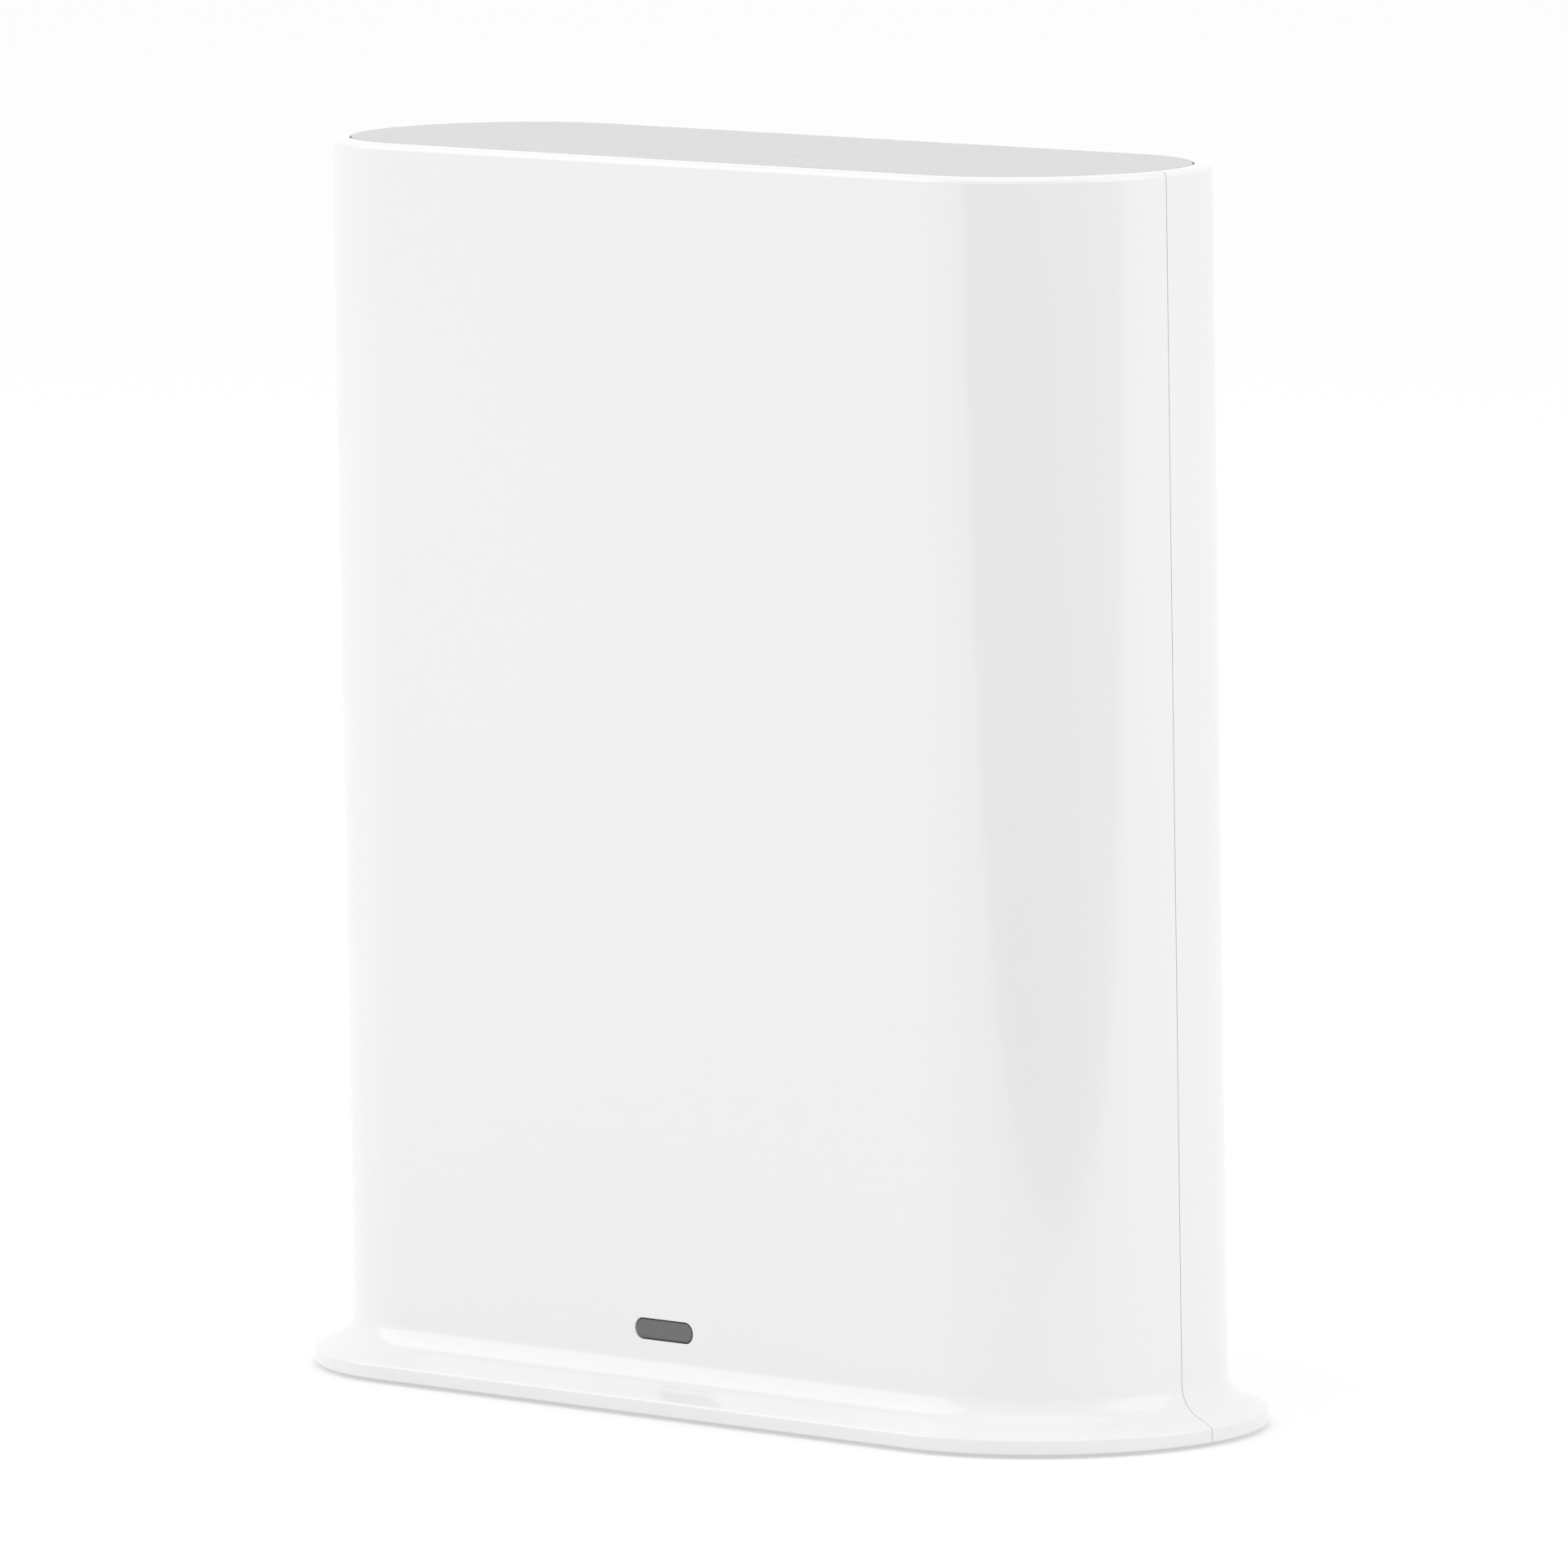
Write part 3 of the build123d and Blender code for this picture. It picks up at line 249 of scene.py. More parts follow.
class Solid:
    """A closed mesh in the making, whose points are already where the frame puts them."""

    def __init__(self, mesh: bpy.types.Mesh) -> None:
        """Holds a finished mesh."""
        self.mesh = mesh

    @classmethod
    def from_shape(cls, shape: bmesh.types.BMesh) -> "Solid":
        """Takes over an editable mesh and turns its faces outwards.

        Args:
            shape: The editable mesh, which is used up.

        Returns:
            The solid.
        """
        bmesh.ops.recalc_face_normals(shape, faces=shape.faces)
        mesh = bpy.data.meshes.new("solid")
        shape.to_mesh(mesh)
        shape.free()
        return cls(mesh)

    @classmethod
    def skinned(cls, rings: Sequence[Sequence[Vector]]) -> "Solid":
        """Skins a row of rings into a closed solid."""
        return cls.from_shape(skin(rings)[0])

    @classmethod
    def stack(cls, outline: Outline, levels: Iterable[Level], place: Matrix) -> "Solid":
        """Stacks one outline, grown by so much at each distance out, into a solid.

        Args:
            outline: The outline that every level is grown from.
            levels: Pairs of growth and distance out, from the inner end to the outer.
            place: Where the stack stands.

        Returns:
            The closed solid.
        """
        rings = [[place @ Vector((*point, out)) for point in outline.points(grow)] for grow, out in levels]
        return cls.skinned(rings)

    @classmethod
    def rod(cls, radius: float, levels: Iterable[Level], place: Matrix, steps: int = 12) -> "Solid":
        """Stacks a circle into a solid."""
        return cls.stack(Outline.circle(radius, steps), levels, place)

    @classmethod
    def turned(cls, profile: Sequence[Level], place: Matrix, sides: int = 48) -> "Solid":
        """Turns a profile round the out direction.

        Args:
            profile: Pairs of radius and distance out, from the inner end to the outer.
            place: Where the turned piece stands.
            sides: How many flats make a full turn.

        Returns:
            The closed solid.
        """
        turns = evenly(0, 2 * math.pi, sides)[:-1]
        rings = [
            [place @ Vector((radius * math.cos(turn), radius * math.sin(turn), out)) for turn in turns]
            for radius, out in profile
        ]
        return cls.skinned(rings)

    def combined(self, operation: Operation, others: Iterable["Solid"]) -> "Solid":
        """Joins the other solids to this one, cuts them out of it, or keeps what it shares with them.

        Args:
            operation: What to do.
            others: The solids to use. They are used up.

        Returns:
            The new solid.
        """
        group = bpy.data.collections.new("others")
        bpy.context.scene.collection.children.link(group)
        base = placed("base", self.mesh)
        for other in others:
            group.objects.link(bpy.data.objects.new("other", other.mesh))
        modifier = base.modifiers.new("combine", "BOOLEAN")
        modifier.operand_type = "COLLECTION"
        modifier.collection = group
        modifier.operation = operation.value
        modifier.solver = "EXACT"
        result = evaluated_mesh(base)
        for used in [base, *group.objects]:
            bpy.data.objects.remove(used)
        bpy.data.collections.remove(group)
        return Solid(result)

    def joined(self, *others: "Solid") -> "Solid":
        """Joins other solids to this one."""
        return self.combined(Operation.JOIN, others)

    def cut(self, *others: "Solid") -> "Solid":
        """Cuts other solids out of this one."""
        return self.combined(Operation.CUT, others)

    def kept(self, within: "Solid") -> "Solid":
        """Keeps what lies within another solid."""
        return self.combined(Operation.KEEP, [within])


def skin(rings: Sequence[Sequence[Vector]]) -> tuple[bmesh.types.BMesh, list[Row]]:
    """Skins a row of closed rings, and closes both ends.

    Args:
        rings: The rings, each with as many points as the others.

    Returns:
        The editable mesh, and its corners ring by ring.
    """
    shape = bmesh.new()
    rows = [[shape.verts.new(point) for point in ring] for ring in rings]
    for lower, upper in pairwise(rows):
        for index in range(len(lower)):
            shape.faces.new((lower[index - 1], lower[index], upper[index], upper[index - 1]))
    shape.faces.new(rows[0])
    shape.faces.new(rows[-1])
    return shape, rows


def edge_arc(grow: float, face: float, radius: float, flare: int, steps: int = 4) -> list[Level]:
    """Draws the levels of a rounded edge just under a face.

    Args:
        grow: The growth of the outline below the edge.
        face: The distance out of the face.
        radius: The radius of the edge.
        flare: -1 where a solid narrows to its face, 1 where a cutter opens a mouth in it.
        steps: How many levels make the edge.

    Returns:
        The levels, from the inner end to the outer.
    """
    return [
        (grow + flare * radius * (1 - math.cos(turn)), face - radius * (1 - math.sin(turn)))
        for turn in evenly(0, QUARTER, steps)
    ]


def mouth(grow: float, bottom: float, face: float, radius: float, spare: float = SPARE) -> list[Level]:
    """Draws the levels of a cutter that opens a hole with a rounded edge in a face."""
    return [(grow, bottom), *edge_arc(grow, face, radius, 1), (grow + radius, face + spare)]


def block(grow: float, bottom: float, face: float, radius: float) -> list[Level]:
    """Draws the levels of a solid whose outer edge is rounded."""
    return [(grow, bottom), *edge_arc(grow, face, radius, -1)]


# Shader tools


class Signal:
    """A number, colour or vector that changes over a surface, with the sums that finishes need."""

    def __init__(self, graph: "Graph", socket: bpy.types.NodeSocket) -> None:
        """Wraps the output socket that carries the signal."""
        self.graph = graph
        self.socket = socket

    def _sum(self, operation: str, left: "Operand", right: "Operand") -> "Signal":
        """Adds the node that works out one sum.

        Args:
            operation: What the node does.
            left: The first operand.
            right: The second operand.

        Returns:
            The result.
        """
        signals = [each for each in (left, right) if isinstance(each, Signal)]
        is_number = all(each.socket.type == "VALUE" for each in signals)
        kind = "ShaderNodeMath" if is_number else "ShaderNodeVectorMath"
        return self.graph.signal(kind, {"operation": operation}, {0: left, 1: right})

    def __add__(self, other: "Operand") -> "Signal":
        """Adds."""
        return self._sum("ADD", self, other)

    def __radd__(self, other: "Operand") -> "Signal":
        """Adds, with this signal on the right."""
        return self._sum("ADD", other, self)

    def __sub__(self, other: "Operand") -> "Signal":
        """Takes away."""
        return self._sum("SUBTRACT", self, other)

    def __rsub__(self, other: "Operand") -> "Signal":
        """Takes this signal away from something."""
        return self._sum("SUBTRACT", other, self)

    def __mul__(self, other: "Operand") -> "Signal":
        """Multiplies."""
        return self._sum("MULTIPLY", self, other)

    def __rmul__(self, other: "Operand") -> "Signal":
        """Multiplies, with this signal on the right."""
        return self._sum("MULTIPLY", other, self)

    def __truediv__(self, other: "Operand") -> "Signal":
        """Divides."""
        return self._sum("DIVIDE", self, other)

    def at_least(self, other: "Operand") -> "Signal":
        """Gives the larger of two."""
        return self._sum("MAXIMUM", self, other)

    def ramp(self, low: float, high: float) -> "Signal":
        """Turns a number into a smooth 0 to 1 between two levels.

        Args:
            low: The level that gives 0.
            high: The level that gives 1.

        Returns:
            The smooth step.
        """
        settings = {"interpolation_type": "SMOOTHSTEP"}
        return self.graph.signal(
            "ShaderNodeMapRange", settings, {"Value": self, "From Min": low, "From Max": high}
        )


Operand = Signal | float | Sequence[float]


class Graph:
    """The shader nodes of one material, world or lamp."""

    def __init__(self, owner: bpy.types.Material | bpy.types.World) -> None:
        """Clears the owner's nodes and adds its output.

        Args:
            owner: What the nodes belong to.
        """
        owner.use_nodes = True
        self.tree = owner.node_tree
        self.tree.nodes.clear()
        is_world = isinstance(owner, bpy.types.World)
        self.output = self.node("ShaderNodeOutputWorld" if is_world else "ShaderNodeOutputMaterial")

    def node(
        self,
        kind: str,
        settings: Mapping[str, object] | None = None,
        inputs: Mapping[str | int, Operand] | None = None,
    ) -> bpy.types.Node:
        """Adds a node.

        Args:
            kind: The node's type.
            settings: The node's own settings, set first.
            inputs: A value or a signal for each socket by name or number.

        Returns:
            The node.
        """
        node = self.tree.nodes.new(kind)
        for name, setting in (settings or {}).items():
            setattr(node, name, setting)
        for name, value in (inputs or {}).items():
            self.feed(node.inputs[name], value)
        return node

    def feed(self, socket: bpy.types.NodeSocket, value: Operand) -> None:
        """Links a signal to a socket, or sets the socket's own value.

        Args:
            socket: The input socket.
            value: A signal, or a plain value.
        """
        if isinstance(value, Signal):
            self.tree.links.new(value.socket, socket)
        elif socket.type == "RGBA":
            socket.default_value = (*value, 1.0)
        elif socket.type == "VECTOR" and isinstance(value, (int, float)):
            socket.default_value = (value, value, value)
        else:
            socket.default_value = value

    def signal(
        self,
        kind: str,
        settings: Mapping[str, object] | None = None,
        inputs: Mapping[str | int, Operand] | None = None,
        output: str | int = 0,
    ) -> Signal:
        """Adds a node and gives one of its outputs."""
        return Signal(self, self.node(kind, settings, inputs).outputs[output])

    def shader(self, kind: str, inputs: Mapping[str | int, Operand]) -> Signal:
        """Adds a shader node and gives its shader."""
        return self.signal(kind, None, inputs)

    def place(self, output: str = "Object") -> Signal:
        """Gives the place on the piece, which moves with the piece."""
        return self.signal("ShaderNodeTexCoord", output=output)

    def noise(self, size: float, detail: float = 2.0, stretch: Sequence[float] = (1, 1, 1)) -> Signal:
        """Gives soft spots of a size, from 0 to 1, stretched along the axes."""
        where = self.place() * tuple(1 / (size * part) for part in stretch)
        return self.signal("ShaderNodeTexNoise", None, {"Vector": where, "Scale": 1.0, "Detail": detail})

    def cells(self, size: float, feature: str = "F1") -> Signal:
        """Gives the distance to the nearest cell point, for cells of a size.

        Args:
            size: The size of a cell.
            feature: What the texture measures.

        Returns:
            The distance.
        """
        return self.signal(
            "ShaderNodeTexVoronoi", {"feature": feature}, {"Vector": self.place() * (1 / size), "Scale": 1.0}
        )

    def mixed(self, factor: Operand, low: Operand, high: Operand) -> Signal:
        """Mixes two colours.

        Args:
            factor: The share of the second colour.
            low: The first colour.
            high: The second colour.

        Returns:
            The mixed colour.
        """
        node = self.node("ShaderNodeMix", {"data_type": "RGBA"})
        for name, value in (("Factor", factor), ("A", low), ("B", high)):
            wanted = "RGBA" if name != "Factor" else "VALUE"
            self.feed(next(s for s in node.inputs if s.name == name and s.type == wanted), value)
        return Signal(self, next(s for s in node.outputs if s.type == "RGBA"))

    def bump(self, height: Signal, depth: float, strength: float = 1.0) -> Signal:
        """Turns a height from 0 to 1 into a normal, for a relief of a real depth.

        Args:
            height: The height.
            depth: The depth of the relief.
            strength: The share that shows.

        Returns:
            The normal.
        """
        return self.signal(
            "ShaderNodeBump", None, {"Height": height, "Distance": depth, "Strength": strength}
        )

    def finish(self, surface: Signal) -> None:
        """Ends the material with its surface."""
        self.feed(self.output.inputs["Surface"], surface)

    def principled(self, inputs: Mapping[str | int, Operand]) -> None:
        """Ends the material with the general surface shader."""
        self.finish(self.shader("ShaderNodeBsdfPrincipled", inputs))

    def seen(self) -> Signal:
        """Gives 1 to rays that see the surroundings directly, in a reflection or through clear parts.

        Returns:
            1 for those rays, or 0.
        """
        path = self.node("ShaderNodeLightPath")
        kinds = ("Camera", "Glossy", "Transmission")
        camera, glossy, through = (Signal(self, path.outputs[f"Is {kind} Ray"]) for kind in kinds)
        return camera.at_least(glossy).at_least(through)


class Finish(Protocol):
    """Something that can dress a material."""

    name: str

    def dress(self, graph: Graph) -> None:
        """Adds the finish's nodes."""


@lru_cache(maxsize=None)
def material_of(finish: Finish) -> bpy.types.Material:
    """Makes the material of a finish once.

    Args:
        finish: What it is made of.

    Returns:
        The material.
    """
    material = bpy.data.materials.new(finish.name)
    finish.dress(Graph(material))
    return material


# Finishes


@dataclass(frozen=True)
class Gloss:
    """Polished moulded plastic, with a faint waviness and a little haze."""

    name: str
    colour: Colour
    roughness: float = 0.14
    haze: float = 0.05
    haze_size: float = 24 * MM
    wave_size: float = 5 * MM
    wave_depth: float = 0.0015 * MM
    tint: float = 0.012
    coat: float = 0.0

    def dress(self, graph: Graph) -> None:
        """Adds the nodes of polished plastic.

        Args:
            graph: The nodes of the material.
        """
        haze = graph.noise(self.haze_size, 3)
        shade = tuple(part * (1 - self.tint) for part in self.colour)
        inputs = {
            "Base Color": graph.mixed(graph.noise(self.haze_size * 2), shade, self.colour),
            "Roughness": haze * self.haze + (self.roughness - self.haze / 2),
            "Normal": graph.bump(graph.noise(self.wave_size, 1), self.wave_depth),
            "IOR": PLASTIC_IOR,
            "Coat Weight": self.coat,
            "Coat Roughness": self.roughness / 2,
        }
        graph.principled(inputs)


@dataclass(frozen=True)
class Grained:
    """Moulded plastic, rubber or resin with a fine etched grain."""

    name: str
    colour: Colour
    roughness: float = 0.55
    grain_size: float = 0.35 * MM
    grain_depth: float = 0.02 * MM
    speck: float = 0.06

    def dress(self, graph: Graph) -> None:
        """Adds the nodes of grained plastic.

        Args:
            graph: The nodes of the material.
        """
        grain = graph.noise(self.grain_size, 3)
        shade = tuple(part * (1 - 2 * self.speck) for part in self.colour)
        speck = (grain * 0.7 + graph.noise(self.grain_size * 9, 2) * 0.3).ramp(0.3, 0.6)
        inputs = {
            "Base Color": graph.mixed(speck, shade, self.colour),
            "Roughness": grain * 0.16 + (self.roughness - 0.08),
            "Normal": graph.bump(grain, self.grain_depth),
            "IOR": RESIN_IOR,
        }
        graph.principled(inputs)


@dataclass(frozen=True)
class Metal:
    """Plated, turned or rolled metal, with fine lines along one direction."""

    name: str
    colour: Colour
    roughness: float = 0.28
    line_size: float = 0.08 * MM
    line_stretch: tuple[float, float, float] = (1, 1, 30)
    line_depth: float = 0.002 * MM
    bloom_size: float = 3 * MM
    bloom_shade: float = 0.82

    def dress(self, graph: Graph) -> None:
        """Adds the nodes of metal.

        Args:
            graph: The nodes of the material.
        """
        lines = graph.noise(self.line_size, 2, self.line_stretch)
        bloom = graph.noise(self.bloom_size, 3)
        dull = tuple(part * self.bloom_shade for part in self.colour)
        inputs = {
            "Base Color": graph.mixed(bloom.ramp(0.3, 0.7), dull, self.colour),
            "Metallic": 1.0,
            "Roughness": lines * 0.12 + bloom * 0.1 + (self.roughness - 0.11),
            "Normal": graph.bump(lines, self.line_depth),
        }
        graph.principled(inputs)


@dataclass(frozen=True)
class SmokedWindow:
    """A smoked pill of clear resin, greyer in the middle than at its edge: painted light from the guide
    behind it.
    """

    name: str
    node: str
    flange: float
    middle: Colour = (0.135, 0.135, 0.135)
    edge: Colour = (0.05, 0.05, 0.05)
    grain_size: float = 0.5 * MM
    grain_depth: float = 0.001 * MM

    def dress(self, graph: Graph) -> None:
        """Adds the nodes of the smoked window.

        Args:
            graph: The nodes of the material.
        """
        low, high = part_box(self.node)
        centre = (low + high) / 2
        half_height = (high.z - low.z) / 2 - self.flange
        half_straight = (high.x - low.x) / 2 - self.flange - half_height
        parts = graph.node("ShaderNodeSeparateXYZ", None, {0: graph.place() - tuple(centre)})
        across = Signal(graph, parts.outputs["X"])
        up = Signal(graph, parts.outputs["Z"])
        past = (across.at_least(0 - across) - half_straight).at_least(0.0)
        painted_light_falloff = (past * past + up * up) / half_height**2
        grain = graph.noise(self.grain_size, 2)
        inputs = {
            # Painted light: the middle is greyer, as if lit through from the guide behind.
            "Base Color": graph.mixed(painted_light_falloff.ramp(0.45, 1.0), self.middle, self.edge),
            "Roughness": grain * 0.06 + 0.12,
            "Normal": graph.bump(grain, self.grain_depth),
            "IOR": PLASTIC_IOR,
        }
        graph.principled(inputs)


@dataclass(frozen=True)
class ClearResin:
    """Clear or milky resin that passes light."""

    name: str
    colour: Colour
    clearness: float
    roughness: float = 0.12
    cloud_size: float = 1.5 * MM
    cloud_depth: float = 0.004 * MM
    paleness: float = 0.5

    def dress(self, graph: Graph) -> None:
        """Adds the nodes of clear resin.

        Args:
            graph: The nodes of the material.
        """
        cloud = graph.noise(self.cloud_size, 3)
        pale = tuple(1 - (1 - part) * self.paleness for part in self.colour)
        inputs = {
            "Base Color": graph.mixed(cloud, self.colour, pale),
            "Roughness": cloud * 0.08 + self.roughness,
            "Transmission Weight": self.clearness,
            "Normal": graph.bump(cloud, self.cloud_depth),
            "IOR": PLASTIC_IOR,
        }
        graph.principled(inputs)


@dataclass(frozen=True)
class SolderMask:
    """A circuit board: glossy mask over raised tracks, with a coarse weave below."""

    name: str
    mask: Colour
    track: Colour
    pitch: float = 1.27 * MM
    weave_size: float = 0.3 * MM
    relief: float = 0.03 * MM
    via: Colour = (0.72, 0.58, 0.3)

    def dress(self, graph: Graph) -> None:
        """Adds the nodes of a circuit board.

        Args:
            graph: The nodes of the material.
        """
        paths = graph.cells(self.pitch * 3, "DISTANCE_TO_EDGE")
        tracks = 1 - paths.ramp(0.06, 0.1)
        weave = graph.noise(self.weave_size, 1)
        colour = graph.mixed(tracks, self.mask, self.track)
        vias = 1 - graph.cells(self.pitch * 2).ramp(0.1, 0.14)
        inputs = {
            "Base Color": graph.mixed(vias, colour, self.via),
            "Roughness": weave * 0.1 + 0.26,
            "Metallic": vias * 0.9,
            "Normal": graph.bump(tracks + weave * 0.15, self.relief),
            "IOR": RESIN_IOR,
        }
        graph.principled(inputs)


CASING_WHITE = Gloss("casing_white", (0.87, 0.87, 0.87), coat=0.3)
BUTTON_WHITE = Gloss("button_white", (0.82, 0.82, 0.82), roughness=0.2)
CAP_GREY = Grained("cap_grey", (0.62, 0.622, 0.624), roughness=0.42, grain_depth=0.012 * MM)
TRAY_WHITE = Grained("tray_white", (0.8, 0.8, 0.8), roughness=0.5)
COVER_WHITE = Grained("cover_white", (0.78, 0.78, 0.78), roughness=0.5)
PAD_RUBBER = Grained("pad_rubber", (0.06, 0.06, 0.062), roughness=0.75, grain_size=0.5 * MM)
CONNECTOR_BLACK = Grained("connector_black", (0.025, 0.025, 0.027), roughness=0.38, grain_depth=0.006 * MM)
TONGUE_BLACK = Grained("tongue_black", (0.03, 0.03, 0.034), roughness=0.4, grain_depth=0.005 * MM)
CHIP_RESIN = Grained("chip_resin", (0.028, 0.028, 0.03), roughness=0.6, grain_size=0.18 * MM)
FERRITE_GREY = Grained("ferrite_grey", (0.07, 0.07, 0.075), roughness=0.65, grain_size=0.25 * MM)
GAP_PAD_GREY = Grained("gap_pad_grey", (0.32, 0.36, 0.42), roughness=0.8, grain_size=0.4 * MM)
LEAD_GREY = Grained("lead_grey", (0.2, 0.2, 0.21), roughness=0.5, grain_size=0.3 * MM)
LAMP_RESIN = ClearResin("lamp_resin", (0.86, 0.88, 0.85), 0.25)
GUIDE_CLEAR = ClearResin("guide_clear", (0.93, 0.95, 0.96), 0.85)
PLATED_STEEL = Metal("plated_steel", (0.72, 0.72, 0.71))
CAN_STEEL = Metal("can_steel", (0.68, 0.67, 0.64), roughness=0.35, line_stretch=(30, 1, 1))
SHELL_STEEL = Metal("shell_steel", (0.74, 0.74, 0.73), roughness=0.22, line_stretch=(1, 30, 1))
SPREADER_ALUMINIUM = Metal("spreader_aluminium", (0.78, 0.79, 0.8), roughness=0.4, line_stretch=(1, 1, 40))
SPACER_BRASS = Metal("spacer_brass", (0.78, 0.63, 0.36), roughness=0.3)
CONTACT_GOLD = Metal("contact_gold", (0.88, 0.68, 0.32), roughness=0.2, line_stretch=(1, 20, 1))
BOARD_GREEN = SolderMask("board_green", (0.012, 0.085, 0.04), (0.03, 0.16, 0.075))
ANTENNA_BLACK = SolderMask("antenna_black", (0.02, 0.022, 0.024), (0.06, 0.055, 0.045), 4 * MM)


# Pieces


def show(
    solid: Solid,
    name: str,
    finish: Finish,
    stands_for: Sequence[str] = (),
    body: str = CASING_BODY,
    crease: float = 32.0,
) -> bpy.types.Object:
    """Puts a solid in the scene as a named piece, shaded smooth up to a crease.

    Args:
        solid: The finished solid.
        name: The piece's name.
        finish: What it is made of.
        stands_for: The CAD nodes that it replaces.
        body: The CAD body that it moves with.
        crease: The angle in degrees from which an edge stays sharp.

    Returns:
        The piece.
    """
    shape = bmesh.new()
    shape.from_mesh(solid.mesh)
    bmesh.ops.remove_doubles(shape, verts=shape.verts, dist=WELD)
    bmesh.ops.dissolve_degenerate(shape, edges=shape.edges, dist=WELD)
    for face in shape.faces:
        face.smooth = True
    for edge in shape.edges:
        edge.smooth = len(edge.link_faces) == 2 and edge.calc_face_angle() < math.radians(crease)
    shape.to_mesh(solid.mesh)
    shape.free()
    piece = placed(name, solid.mesh)
    weighting = piece.modifiers.new("even_normals", "WEIGHTED_NORMAL")
    weighting.keep_sharp = True
    mesh = evaluated_mesh(piece)
    piece.modifiers.clear()
    piece.data = mesh
    mesh.name = name
    mesh.materials.clear()
    mesh.materials.append(material_of(finish))
    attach(piece, body)
    if stands_for:
        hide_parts(*stands_for)
    log.info("%s: %d faces in %s", name, len(mesh.polygons), finish.name)
    return piece


def middle(node: str) -> Vector:
    """Gives the middle of a CAD node's box."""
    low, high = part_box(node)
    return (low + high) / 2


def inset_places(node: str, inset: float, axes: str) -> list[tuple[float, float]]:
    """Gives the four places that lie inwards of the corners of a CAD node's box.

    Args:
        node: The node's name.
        inset: How far inwards.
        axes: The two axes, by their letters.

    Returns:
        The places.
    """
    low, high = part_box(node)
    first, second = ((getattr(low, axis) + inset, getattr(high, axis) - inset) for axis in axes)
    return [(one, other) for one in first for other in second]


@dataclass(frozen=True)
class Tower:
    """The slot-shaped plan and the sizes that sub-assemblies share, partly measured from the frame."""

    wall: float = 2.4 * MM
    foot_reach: float = 5.35 * MM
    cover_recess: float = 0.2 * MM
    cover_thickness: float = 2.0 * MM
    cap_thickness: float = 2.0 * MM
    ledge_reach: float = 1.6 * MM
    ledge_thickness: float = 1.4 * MM
    foot_ring: float = 1.5 * MM
    window_flange: float = 1.2 * MM
    tray_ear: float = 9.0 * MM
    button_radius: float = 5.5 * MM
    end_x: float = field(init=False)
    foot_half: float = field(init=False)
    half_depth: float = field(init=False)
    inner: float = field(init=False)
    top: float = field(init=False)
    foot_z: float = field(init=False)
    cover_top: float = field(init=False)
    ledge_z: float = field(init=False)

    def __post_init__(self) -> None:
        """Measures the rear half of the casing."""
        low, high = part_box("rear_shell")
        sizes = {
            "end_x": high.x - high.y,
            "foot_half": high.y,
            "half_depth": high.y - self.foot_reach,
            "inner": high.y - self.foot_reach - self.wall,
            "top": high.z,
            "foot_z": low.z,
            "cover_top": low.z + self.cover_recess + self.cover_thickness,
            "ledge_z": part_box("top_cap")[1].z - self.cap_thickness,
        }
        for name, size in sizes.items():
            object.__setattr__(self, name, size)

    def plan(self, distance: float, steps: int = 40) -> Outline:
        """Gives the slot at a distance out from the middle plane."""
        return Outline.slot(2 * (self.end_x + distance), 2 * distance, steps)

    @property
    def wall_middle(self) -> float:
        """Gives the distance from the middle plane to the middle of the wall."""
        return self.inner + self.wall / 2

    def carried(
        self, section: Sequence[Vector], side: int, turns: Sequence[float], least: float
    ) -> list[list[Vector]]:
        """Carries a section round the slot.

        Args:
            section: Points as distances out from the middle plane and heights.
            side: -1 for the front half, 1 for the rear half.
            turns: The angles of the stations, from 0 at the right end to half a turn at the left end.
            least: The least distance of any point from the middle plane.

        Returns:
            One ring of points for each station, and two where the straight face begins and ends.
        """
        rings = []
        for turn in turns:
            cosine, sine = math.cos(turn), math.sin(turn)
            centres = [math.copysign(self.end_x, cosine)]
            if math.isclose(turn, QUARTER):
                centres = [self.end_x, -self.end_x]
            points = [(p.x * cosine, side * max(p.x * sine, least), p.y) for p in section]
            for centre in centres:
                rings.append([Vector((centre + x, y, z)) for x, y, z in points])
        return rings


